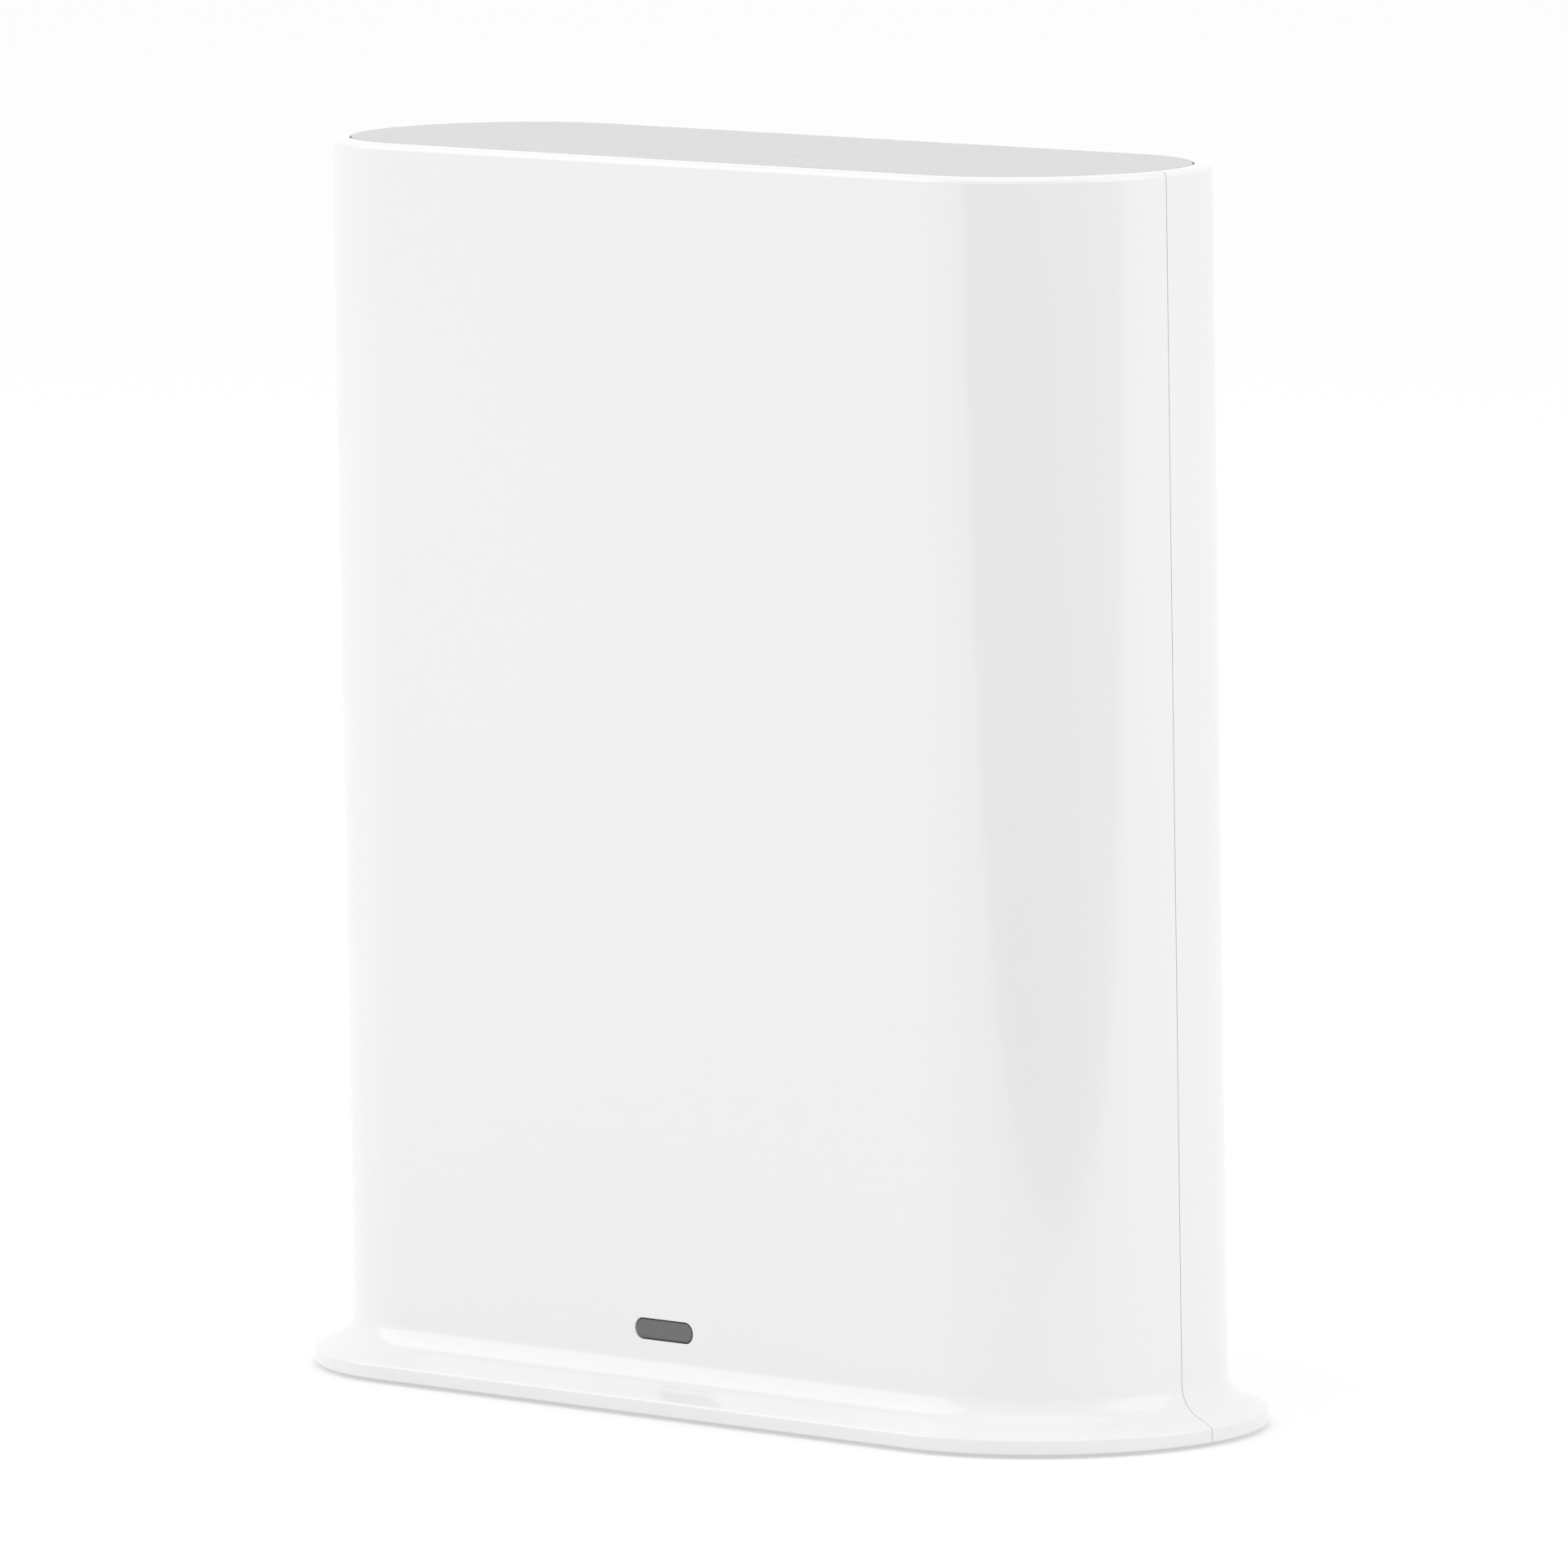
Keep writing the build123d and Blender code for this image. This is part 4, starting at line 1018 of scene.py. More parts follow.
@dataclass
class Casing:
    """The two halves of the casing, with the flared foot, the seam, the openings and the inner fittings."""

    tower: Tower
    end_steps: int = 48
    arc_steps: int = 9
    rim_radius: float = 0.8 * MM
    rim_inner_radius: float = 0.3 * MM
    seam_gap: float = 0.12 * MM
    seam_edge: float = 0.18 * MM
    tongue_thickness: float = 1.2 * MM
    tongue_reach: float = 3.0 * MM
    tongue_root: float = 4.0 * MM
    tongue_gap: float = 0.15 * MM
    tongue_foot: float = 14.0 * MM
    tongue_steps: int = 8
    hook_count: int = 3
    hook_pitch: float = 48.0 * MM
    hook_length: float = 8.0 * MM
    hook_proud: float = 0.7 * MM
    hook_depth: float = 1.2 * MM
    hook_tip: float = 0.3 * MM
    hook_setback: float = 0.2 * MM
    hook_gap: float = 0.15 * MM
    hook_edge: float = 0.1 * MM
    foot_side: float = 1.75 * MM
    foot_lip_radius: float = 0.45 * MM
    foot_slope: float = 25.0
    foot_sweep_radius: float = 4.4 * MM
    foot_edge: float = 0.25 * MM
    foot_seat: float = 2.6 * MM
    foot_inner_rise: float = 3.2 * MM
    boss_radius: float = 3.4 * MM
    boss_edge: float = 0.3 * MM
    rib_width: float = 1.2 * MM
    rib_reach: float = 5.0 * MM
    rib_height: float = 8.0 * MM
    rib_edge: float = 0.1 * MM
    rib_drop: float = 0.6 * MM
    cross_edge: float = 0.15 * MM
    ear_thickness: float = 1.5 * MM
    pilot_radius: float = 1.3 * MM
    pilot_spare: float = 0.6 * MM
    cover_boss_height: float = 7.4 * MM
    post_radius: float = 2.6 * MM
    post_pin_radius: float = 1.0 * MM
    post_pin_proud: float = 0.7 * MM
    post_pin_edge: float = 0.2 * MM
    post_inset: float = 4.0 * MM
    window_gap: float = 0.06 * MM
    window_edge: float = 0.12 * MM
    sleeve_wall: float = 1.2 * MM
    sleeve_gap: float = 0.1 * MM
    sleeve_length: float = 8.0 * MM
    bay_gap: float = 0.15 * MM
    bay_edge: float = 0.3 * MM
    bay_corner: float = 5.5 * MM
    button_gap: float = 0.2 * MM
    button_edge: float = 0.25 * MM
    collar_radius: float = 7.25 * MM
    collar_wall: float = 1.4 * MM
    collar_length: float = 7.0 * MM
    collar_steps: int = 16
    vent_count: int = 14
    vent_pitch: float = 4.4 * MM
    vent_length: float = 20.0 * MM
    vent_width: float = 2.0 * MM
    vent_drop: float = 26.0 * MM
    vent_edge: float = 0.35 * MM

    def section(self) -> tuple[list[Vector], int]:
        """Draws the wall cut through.

        Returns:
            Points as distances out from the middle plane and heights, and how many of them are outside.
        """
        tower = self.tower
        slope = math.radians(self.foot_slope)
        lip_z = tower.foot_z + self.foot_side + self.foot_lip_radius * math.tan((QUARTER - slope) / 2)
        sweep_z = lip_z + tower.foot_reach * math.tan(slope)
        ring = tower.foot_half - tower.foot_ring
        outer = [
            Corner(tower.foot_half, tower.foot_z, self.foot_edge),
            Corner(tower.foot_half, lip_z, self.foot_lip_radius),
            Corner(tower.half_depth, sweep_z, self.foot_sweep_radius),
            Corner(tower.half_depth, tower.top, self.rim_radius),
            Corner(tower.inner, tower.top, self.rim_inner_radius),
        ]
        inner = [
            Corner(tower.inner, tower.ledge_z),
            Corner(tower.inner - tower.ledge_reach, tower.ledge_z),
            Corner(tower.inner - tower.ledge_reach, tower.ledge_z - tower.ledge_thickness),
            Corner(tower.inner, tower.ledge_z - tower.ledge_thickness),
            Corner(tower.inner, tower.cover_top + self.foot_inner_rise),
            Corner(ring - self.foot_seat, tower.cover_top),
            Corner(ring, tower.cover_top),
            Corner(ring, tower.foot_z),
        ]
        points = rounded_path([*outer, *inner], self.arc_steps)
        return points, len(outer) * (self.arc_steps + 1)

    def half(self, side: int) -> Solid:
        """Carries the section round one half of the slot, and rounds the outer edges of its seam.

        Args:
            side: -1 for the front half, 1 for the rear half.

        Returns:
            The bare half.
        """
        section, outer_count = self.section()
        turns = evenly(0, math.pi, 2 * self.end_steps)
        shape, rows = skin(self.tower.carried(section, side, turns, self.seam_gap / 2))
        seam_edges = [
            shape.edges.get(pair) for row in (rows[0], rows[-1]) for pair in pairwise(row[:outer_count])
        ]
        bmesh.ops.bevel(
            shape,
            geom=seam_edges,
            offset=self.seam_edge,
            offset_type="OFFSET",
            segments=3,
            profile=0.5,
            affect="EDGES",
        )
        return Solid.from_shape(shape)

    def strip(self, outer: float, thickness: float, low: float, high: float, mirrored: bool) -> Solid:
        """Makes an upright strip of the seam's tongue, inside one end of the casing.

        Args:
            outer: The distance of its outer face from the middle of the end.
            thickness: How thick it is.
            low: Where it starts, along Y.
            high: Where it ends, along Y.
            mirrored: Whether it stands in the left end.

        Returns:
            The strip.
        """
        tower = self.tower
        top = tower.ledge_z - tower.ledge_thickness - self.tongue_gap
        inner = outer - thickness
        section = [(outer, self.tongue_foot), (outer, top), (inner, top), (inner, self.tongue_foot)]
        turns = evenly(math.asin(low / outer), math.asin(high / outer), self.tongue_steps)
        flip = -1 if mirrored else 1
        rings = [
            [Vector((flip * (tower.end_x + d * math.cos(turn)), d * math.sin(turn), z)) for d, z in section]
            for turn in turns
        ]
        return Solid.skinned(rings)

    def hooks(self, gap: float) -> list[Solid]:
        """Makes the wedges on the seam's tongue, or with a gap the pockets that they snap into.

        Args:
            gap: The clearance round a pocket, or 0 for the wedges.

        Returns:
            The wedges or the pockets.
        """
        tower = self.tower
        front = self.hook_setback - self.tongue_reach - gap
        catch = front + self.hook_depth + self.hook_tip + 2 * gap
        root = tower.inner - self.tongue_gap - self.tongue_thickness / 2
        tip = tower.inner + self.hook_proud + gap
        corners = [
            Corner(root, front),
            Corner(tip, front + self.hook_depth, self.hook_edge),
            Corner(tip, catch, self.hook_edge),
            Corner(root, catch),
        ]
        section = rounded_path(corners, 2)
        both_ends = self.tongue_foot + tower.ledge_z
        low = (both_ends - (self.hook_count - 1) * self.hook_pitch - self.hook_length) / 2
        solids = []
        for index in range(self.hook_count):
            start = low + index * self.hook_pitch
            ends = (start - gap, start + self.hook_length + gap)
            for flip in (-1, 1):
                rings = [[Vector((flip * (tower.end_x + p.x), p.y, z)) for p in section] for z in ends]
                solids.append(Solid.skinned(rings))
        return solids

    def cover_fittings(self, side: int) -> tuple[list[Solid], list[Solid]]:
        """Makes the bosses for the cover's screws on one side.

        Args:
            side: -1 for the front, 1 for the rear.

        Returns:
            The solids to join, and the pilot holes to cut.
        """
        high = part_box("cover_screws")[1]
        screw_x = high.x - SCREW_HEAD_RADIUS
        screw_y = side * (high.y - SCREW_HEAD_RADIUS)
        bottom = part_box("bottom_cover")[1].z
        top = bottom + self.cover_boss_height
        wall_y = side * self.tower.wall_middle
        rib = Outline(2 * self.pilot_radius, abs(wall_y - screw_y), self.rib_edge, 1)
        pilot = [(0, bottom - SPARE), (0, high.z + self.pilot_spare)]
        added, holes = [], []
        for x in (-screw_x, screw_x):
            place = Facing.TOP.at(x, screw_y, 0)
            added.append(Solid.rod(self.boss_radius, block(0, bottom, top, self.boss_edge), place))
            rib_place = Facing.TOP.at(x, (wall_y + screw_y) / 2, 0)
            added.append(Solid.stack(rib, [(0, bottom), (0, top - self.rib_drop)], rib_place))
            holes.append(Solid.rod(self.pilot_radius, pilot, place))
        return added, holes

    def board_fittings(self) -> tuple[list[Solid], list[Solid]]:
        """Makes the bosses that the main board is screwed to, with their cross ribs.

        Returns:
            The solids to join, and the pilot holes to cut.
        """
        tower = self.tower
        board_front = -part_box("main_board")[0].y
        boss = [(0, board_front), (0, tower.wall_middle)]
        ribs = [(0, tower.inner - self.rib_height), (0, tower.wall_middle)]
        cross = ((2 * self.rib_reach, self.rib_width), (self.rib_width, 2 * self.rib_reach))
        pilot = [(0, board_front - SPARE), (0, self.pilot_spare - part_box("board_screws")[0].y)]
        added, holes = [], []
        for x, z in inset_places("board_screws", SCREW_HEAD_RADIUS, "xz"):
            place = Facing.FRONT.at(x, 0, z)
            added.append(Solid.rod(self.boss_radius, boss, place))
            for length, height in cross:
                added.append(Solid.stack(Outline(length, height, self.cross_edge, 2), ribs, place))
            holes.append(Solid.rod(self.pilot_radius, pilot, place))
        return added, holes

    def antenna_posts(self) -> list[Solid]:
        """Makes the stepped posts that hold the antenna boards.

        Returns:
            The posts.
        """
        posts = []
        for node in ("left_antenna", "right_antenna"):
            low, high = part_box(node)
            pin_out = -high.y - self.post_pin_proud
            profile = [
                (self.post_pin_radius - self.post_pin_edge, pin_out),
                (self.post_pin_radius, pin_out + self.post_pin_edge),
                (self.post_pin_radius, -low.y),
                (self.post_radius, -low.y),
                (self.post_radius, self.tower.wall_middle),
            ]
            for z in (low.z + self.post_inset, high.z - self.post_inset):
                posts.append(Solid.turned(profile, Facing.FRONT.at((low.x + high.x) / 2, 0, z)))
        return posts

    def window_fittings(self) -> tuple[Solid, list[Solid]]:
        """Makes the sleeve round the light guide, its bore and the window's hole.

        Returns:
            The sleeve, and the holes to cut.
        """
        tower = self.tower
        low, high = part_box("status_lens")
        window = middle("status_lens")
        place = Facing.FRONT.at(window.x, 0, window.z)
        flanged = Outline.slot(high.x - low.x, high.z - low.z)
        inner_end = tower.inner - self.sleeve_length
        outside = self.sleeve_gap + self.sleeve_wall
        sleeve = Solid.stack(flanged, [(outside, inner_end), (outside, tower.wall_middle)], place)
        bore = [(self.sleeve_gap, inner_end - SPARE), (self.sleeve_gap, tower.inner)]
        shrink = self.window_gap - tower.window_flange
        hole = mouth(shrink, tower.inner - SPARE, tower.half_depth, self.window_edge)
        return sleeve, [Solid.stack(flanged, levels, place) for levels in (bore, hole)]

    def tray_fittings(self) -> tuple[list[Solid], list[Solid]]:
        """Makes the bosses that the connector tray is screwed to.

        Returns:
            The solids to join, and the pilot holes to cut.
        """
        low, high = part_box("tray_screws")
        ear_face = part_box("port_tray")[0].y + self.ear_thickness
        boss = [(0, ear_face), (0, self.tower.wall_middle)]
        pilot = [(0, ear_face - SPARE), (0, high.y + self.pilot_spare)]
        tray_z = middle("port_tray").z
        screws = (low.x + SCREW_HEAD_RADIUS, high.x - SCREW_HEAD_RADIUS)
        places = [Facing.REAR.at(x, 0, tray_z) for x in screws]
        bosses = [Solid.rod(self.boss_radius, boss, place) for place in places]
        return bosses, [Solid.rod(self.pilot_radius, pilot, place) for place in places]

    def button_fittings(self) -> tuple[Solid, list[Solid]]:
        """Makes the collar that guides the sync button, its bore and the button's hole.

        Returns:
            The collar, and the holes to cut.
        """
        tower = self.tower
        sync = middle("sync_button")
        place = Facing.REAR.at(sync.x, 0, sync.z)
        inner_end = tower.inner - self.collar_length
        collar = [(self.collar_wall, inner_end), (self.collar_wall, tower.wall_middle)]
        bore = [(0, inner_end - SPARE), (0, tower.inner)]
        hole = mouth(self.button_gap, tower.inner - SPARE, tower.half_depth, self.button_edge)
        cuts = [
            Solid.rod(self.collar_radius, bore, place, self.collar_steps),
            Solid.rod(tower.button_radius, hole, place, self.collar_steps),
        ]
        return Solid.rod(self.collar_radius, collar, place, self.collar_steps), cuts

    def rear_openings(self) -> list[Solid]:
        """Makes the cutters of the connector bay and the cooling slots.

        Returns:
            The cutters.
        """
        tower = self.tower
        low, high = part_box("port_tray")
        bay = Outline(high.x - low.x - 2 * tower.tray_ear, high.z - low.z, self.bay_corner, 10)
        levels = mouth(self.bay_gap, tower.inner - SPARE, tower.half_depth, self.bay_edge)
        cutters = [Solid.stack(bay, levels, Facing.REAR.at(0, 0, middle("port_tray").z))]
        vent = mouth(0, tower.inner - SPARE, tower.half_depth, self.vent_edge)
        slot = Outline.slot(self.vent_width, self.vent_length, 6)
        for x in pitched(self.vent_count, self.vent_pitch):
            cutters.append(Solid.stack(slot, vent, Facing.REAR.at(x, 0, tower.top - self.vent_drop)))
        return cutters

    def fitted(self, side: int, fittings: Sequence[Solid]) -> Solid:
        """Joins fittings to one half, trimmed to the middle of its wall.

        Args:
            side: -1 for the front, 1 for the rear.
            fittings: The solids to join, which are used up.

        Returns:
            The half with its fittings.
        """
        tower = self.tower
        core = [(0, tower.cover_top), (0, tower.top)]
        within = Solid.stack(tower.plan(tower.wall_middle), core, Facing.TOP.at(0, 0, 0))
        trimmed = fittings[0].joined(*fittings[1:]).kept(within)
        return self.half(side).joined(trimmed)

    def front(self) -> bpy.types.Object:
        """Makes the front half, with its bosses, its posts, the window's sleeve and the window's hole.

        Returns:
            The piece.
        """
        cover_bosses, cover_pilots = self.cover_fittings(-1)
        board_bosses, board_pilots = self.board_fittings()
        sleeve, window_holes = self.window_fittings()
        added = [*cover_bosses, *board_bosses, *self.antenna_posts(), sleeve]
        holes = [*cover_pilots, *board_pilots, *window_holes, *self.hooks(self.hook_gap)]
        solid = self.fitted(-1, added).cut(*holes)
        return show(solid, "casing_front", CASING_WHITE, ["front_shell"])

    def rear(self) -> bpy.types.Object:
        """Makes the rear half, with its tongue, bosses, connector bay, button hole and cooling slots.

        Returns:
            The piece.
        """
        tower = self.tower
        tongues = self.hooks(0.0)
        root = tower.inner - self.tongue_gap
        clear = self.seam_gap / 2 + self.seam_edge
        for mirrored in (False, True):
            tongues += [
                self.strip(root, self.tongue_thickness, -self.tongue_reach, self.tongue_root, mirrored),
                self.strip(tower.wall_middle, tower.wall, clear, self.tongue_root, mirrored),
            ]
        cover_bosses, cover_pilots = self.cover_fittings(1)
        tray_bosses, tray_pilots = self.tray_fittings()
        collar, button_holes = self.button_fittings()
        holes = [*cover_pilots, *tray_pilots, *button_holes, *self.rear_openings()]
        solid = self.fitted(1, [*cover_bosses, *tray_bosses, collar]).joined(*tongues).cut(*holes)
        return show(solid, "casing_rear", CASING_WHITE, ["rear_shell"])

    def build(self) -> list[bpy.types.Object]:
        """Makes both halves."""
        return [self.front(), self.rear()]


@dataclass
class TopCap:
    """The grey cap that snaps into the top of the casing."""

    tower: Tower
    gap: float = 0.25 * MM
    edge: float = 0.25 * MM
    clip_count: int = 3
    clip_pitch: float = 36.0 * MM
    clip_width: float = 8.0 * MM
    clip_thickness: float = 1.3 * MM
    clip_gap: float = 0.2 * MM
    clip_barb: float = 0.7 * MM
    clip_barb_height: float = 1.6 * MM

    def clip(self, x: float, side: int) -> Solid:
        """Makes one clip, with the barb that catches under the ledge.

        Args:
            x: The place along X.
            side: -1 for the front, 1 for the rear.

        Returns:
            The clip.
        """
        outer = self.tower.inner - self.tower.ledge_reach - self.clip_gap
        root = self.tower.ledge_z + self.tower.cap_thickness / 2
        catch = self.tower.ledge_z - self.tower.ledge_thickness - self.clip_gap
        end = catch - self.clip_barb_height
        corners = [
            Corner(outer, root),
            Corner(outer, catch),
            Corner(outer + self.clip_barb, catch),
            Corner(outer, end),
            Corner(outer - self.clip_thickness, end),
            Corner(outer - self.clip_thickness, root),
        ]
        section = rounded_path(corners, 1)
        shifts = (-self.clip_width / 2, self.clip_width / 2)
        rings = [[Vector((x + shift, side * point.x, point.y)) for point in section] for shift in shifts]
        return Solid.skinned(rings)

    def build(self) -> list[bpy.types.Object]:
        """Makes the cap.

        Returns:
            The pieces that were made.
        """
        plan = self.tower.plan(self.tower.inner - self.gap)
        levels = block(0, self.tower.ledge_z, self.tower.top, self.edge)
        places = pitched(self.clip_count, self.clip_pitch)
        clips = [self.clip(x, side) for x in places for side in (-1, 1)]
        solid = Solid.stack(plan, levels, Facing.TOP.at(0, 0, 0)).joined(*clips)
        return [show(solid, "cap", CAP_GREY, ["top_cap"])]


@dataclass
class StatusWindow:
    """The smoked window in the front, with the light guide and the lamp behind it."""

    tower: Tower
    flange_thickness: float = 0.8 * MM
    flange_edge: float = 0.1 * MM
    edge: float = 0.35 * MM

    def build(self) -> list[bpy.types.Object]:
        """Makes the window, and dresses the guide and the lamp.

        Returns:
            The pieces that were made.
        """
        low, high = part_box("status_lens")
        place = Facing.FRONT.at((low.x + high.x) / 2, 0, (low.z + high.z) / 2)
        flanged = Outline.slot(high.x - low.x, high.z - low.z, 12)
        flange_levels = block(0, -high.y, -high.y + self.flange_thickness, self.flange_edge)
        flange = Solid.stack(flanged, flange_levels, place)
        pill = Solid.stack(flanged, block(-self.tower.window_flange, -high.y, -low.y, self.edge), place)
        smoked = SmokedWindow("smoked_window", "status_lens", self.tower.window_flange)
        window = show(flange.joined(pill), "window", smoked, ["status_lens"])
        dress("light_guide", GUIDE_CLEAR)
        dress("status_lamp", LAMP_RESIN)
        return [window]


@dataclass
class PanScrew:
    """A pan-head screw with a cross in its head and a thread on its shank."""

    length: float
    radius: float = 1.3 * MM
    head_radius: float = SCREW_HEAD_RADIUS
    head_height: float = 1.7 * MM
    head_edge: float = 0.7 * MM
    pitch: float = 0.9 * MM
    thread_depth: float = 0.28 * MM
    sides: int = 24
    turns_step: int = 6
    cross_width: float = 0.8 * MM
    cross_length: float = 2.8 * MM
    cross_depth: float = 0.9 * MM
    cross_draft: float = 0.1 * MM
    cross_flare: float = 0.05 * MM
    cross_corner: float = 0.2 * MM

    def radius_at(self, turn: float, depth: float) -> float:
        """Gives the radius of the threaded shank at an angle and a depth below the head.

        Args:
            turn: The angle round the screw.
            depth: The depth below the head.

        Returns:
            The radius.
        """
        phase = (depth / self.pitch + turn / (2 * math.pi)) % 1.0
        ridge = max(0.0, 1 - abs(phase - 0.5) * 4)
        fade = min(1.0, depth / self.pitch, (self.length - depth) / self.pitch)
        return self.radius - self.thread_depth * (1 - ridge * fade)

    def solid(self, place: Matrix) -> Solid:
        """Makes the screw with its head standing out from a point.

        Args:
            place: Where it stands.

        Returns:
            The screw.
        """
        head_levels = block(self.head_radius, 0, self.head_height, self.head_edge)
        head = Solid.turned(head_levels, place, 2 * self.sides)
        turns = evenly(0, 2 * math.pi, self.sides)[:-1]
        rows = int(self.length / self.pitch * self.turns_step)
        shank = [(-self.head_height / 2, [self.radius - self.thread_depth] * self.sides)]
        for depth in evenly(0, self.length, rows):
            shank.append((depth, [self.radius_at(turn, depth) for turn in turns]))
        rings = [
            [
                place @ Vector((radius * math.cos(turn), radius * math.sin(turn), -depth))
                for radius, turn in zip(radii, turns)
            ]
            for depth, radii in shank
        ]
        levels = [
            (-self.cross_draft, self.head_height - self.cross_depth),
            (self.cross_flare, self.head_height + SPARE),
        ]
        cross = ((self.cross_length, self.cross_width), (self.cross_width, self.cross_length))
        arms = [Solid.stack(Outline(*size, self.cross_corner, 2), levels, place) for size in cross]
        return head.joined(Solid.skinned(rings)).cut(*arms)


def merged(solids: Sequence[Solid]) -> Solid:
    """Puts separate solids in one mesh.

    Args:
        solids: The separate solids.

    Returns:
        One solid.
    """
    shape = bmesh.new()
    for solid in solids:
        shape.from_mesh(solid.mesh)
    return Solid.from_shape(shape)


@dataclass
class Foot:
    """The bottom cover inside the foot ring, with its rubber pads and its screws."""

    tower: Tower
    gap: float = 0.15 * MM
    edge: float = 0.3 * MM
    cup_wall: float = 1.4 * MM
    cup_floor: float = 1.2 * MM
    cup_root: float = 0.5 * MM
    head_clearance: float = 0.3 * MM
    shank_radius: float = 1.3 * MM
    pad_radius: float = 6.0 * MM
    pad_gap: float = 0.25 * MM
    pad_edge: float = 0.35 * MM
    pad_root_edge: float = 0.1 * MM
    seat_edge: float = 0.15 * MM
    vent_count: int = 9
    vent_pitch: float = 5.6 * MM
    vent_length: float = 22.0 * MM
    vent_width: float = 2.0 * MM
    vent_edge: float = 0.3 * MM

    def cover(self) -> bpy.types.Object:
        """Makes the cover, with the wells of its screws, the seats of the pads and the cooling slots.

        Returns:
            The piece.
        """
        tower = self.tower
        low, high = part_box("bottom_cover")
        plan = tower.plan(tower.foot_half - tower.foot_ring - self.gap)
        cover = Solid.stack(plan, block(0, -tower.cover_top, -low.z, self.edge), Facing.UNDER.at(0, 0, 0))
        well_radius = SCREW_HEAD_RADIUS + self.head_clearance
        cup = [(0, -high.z), (0, -tower.cover_top + self.cup_root)]
        well = mouth(0, -high.z + self.cup_floor, -low.z, self.edge)
        bore = [(0, -high.z - SPARE), (0, -low.z)]
        cups, holes = [], []
        for x, y in inset_places("cover_screws", SCREW_HEAD_RADIUS, "xy"):
            place = Facing.UNDER.at(x, y, 0)
            cups.append(Solid.rod(well_radius + self.cup_wall, cup, place))
            holes.append(Solid.rod(well_radius, well, place))
            holes.append(Solid.rod(self.shank_radius + self.head_clearance, bore, place))
        seat = mouth(self.pad_gap, -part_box("foot_pads")[1].z, -low.z, self.seat_edge)
        for x, y in inset_places("foot_pads", self.pad_radius, "xy"):
            holes.append(Solid.rod(self.pad_radius, seat, Facing.UNDER.at(x, y, 0)))
        vent = mouth(0, -tower.cover_top - SPARE, -low.z, self.vent_edge)
        slot = Outline.slot(self.vent_width, self.vent_length, 6)
        for x in pitched(self.vent_count, self.vent_pitch):
            holes.append(Solid.stack(slot, vent, Facing.UNDER.at(x, 0, 0)))
        return show(cover.joined(*cups).cut(*holes), "cover", COVER_WHITE, ["bottom_cover"])

    def pads(self) -> bpy.types.Object:
        """Makes the rubber pads.

        Returns:
            The piece.
        """
        root = -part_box("foot_pads")[1].z
        profile = [
            (self.pad_radius - self.pad_root_edge, root),
            (self.pad_radius, root + self.pad_root_edge),
            *edge_arc(self.pad_radius, 0, self.pad_edge, -1),
        ]
        places = inset_places("foot_pads", self.pad_radius, "xy")
        pads = [Solid.turned(profile, Facing.UNDER.at(x, y, 0), 64) for x, y in places]
        return show(merged(pads), "pads", PAD_RUBBER, ["foot_pads"])

    def screws(self) -> bpy.types.Object:
        """Makes the screws that hold the cover.

        Returns:
            The piece.
        """
        seat_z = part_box("bottom_cover")[1].z - self.cup_floor
        screw = PanScrew(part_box("cover_screws")[1].z - seat_z)
        places = inset_places("cover_screws", SCREW_HEAD_RADIUS, "xy")
        screws = [screw.solid(Facing.UNDER.at(x, y, seat_z)) for x, y in places]
        return show(merged(screws), "screws_under_cover", PLATED_STEEL, ["cover_screws"])

    def build(self) -> list[bpy.types.Object]:
        """Makes the cover, the pads and the screws."""
        return [self.cover(), self.pads(), self.screws()]


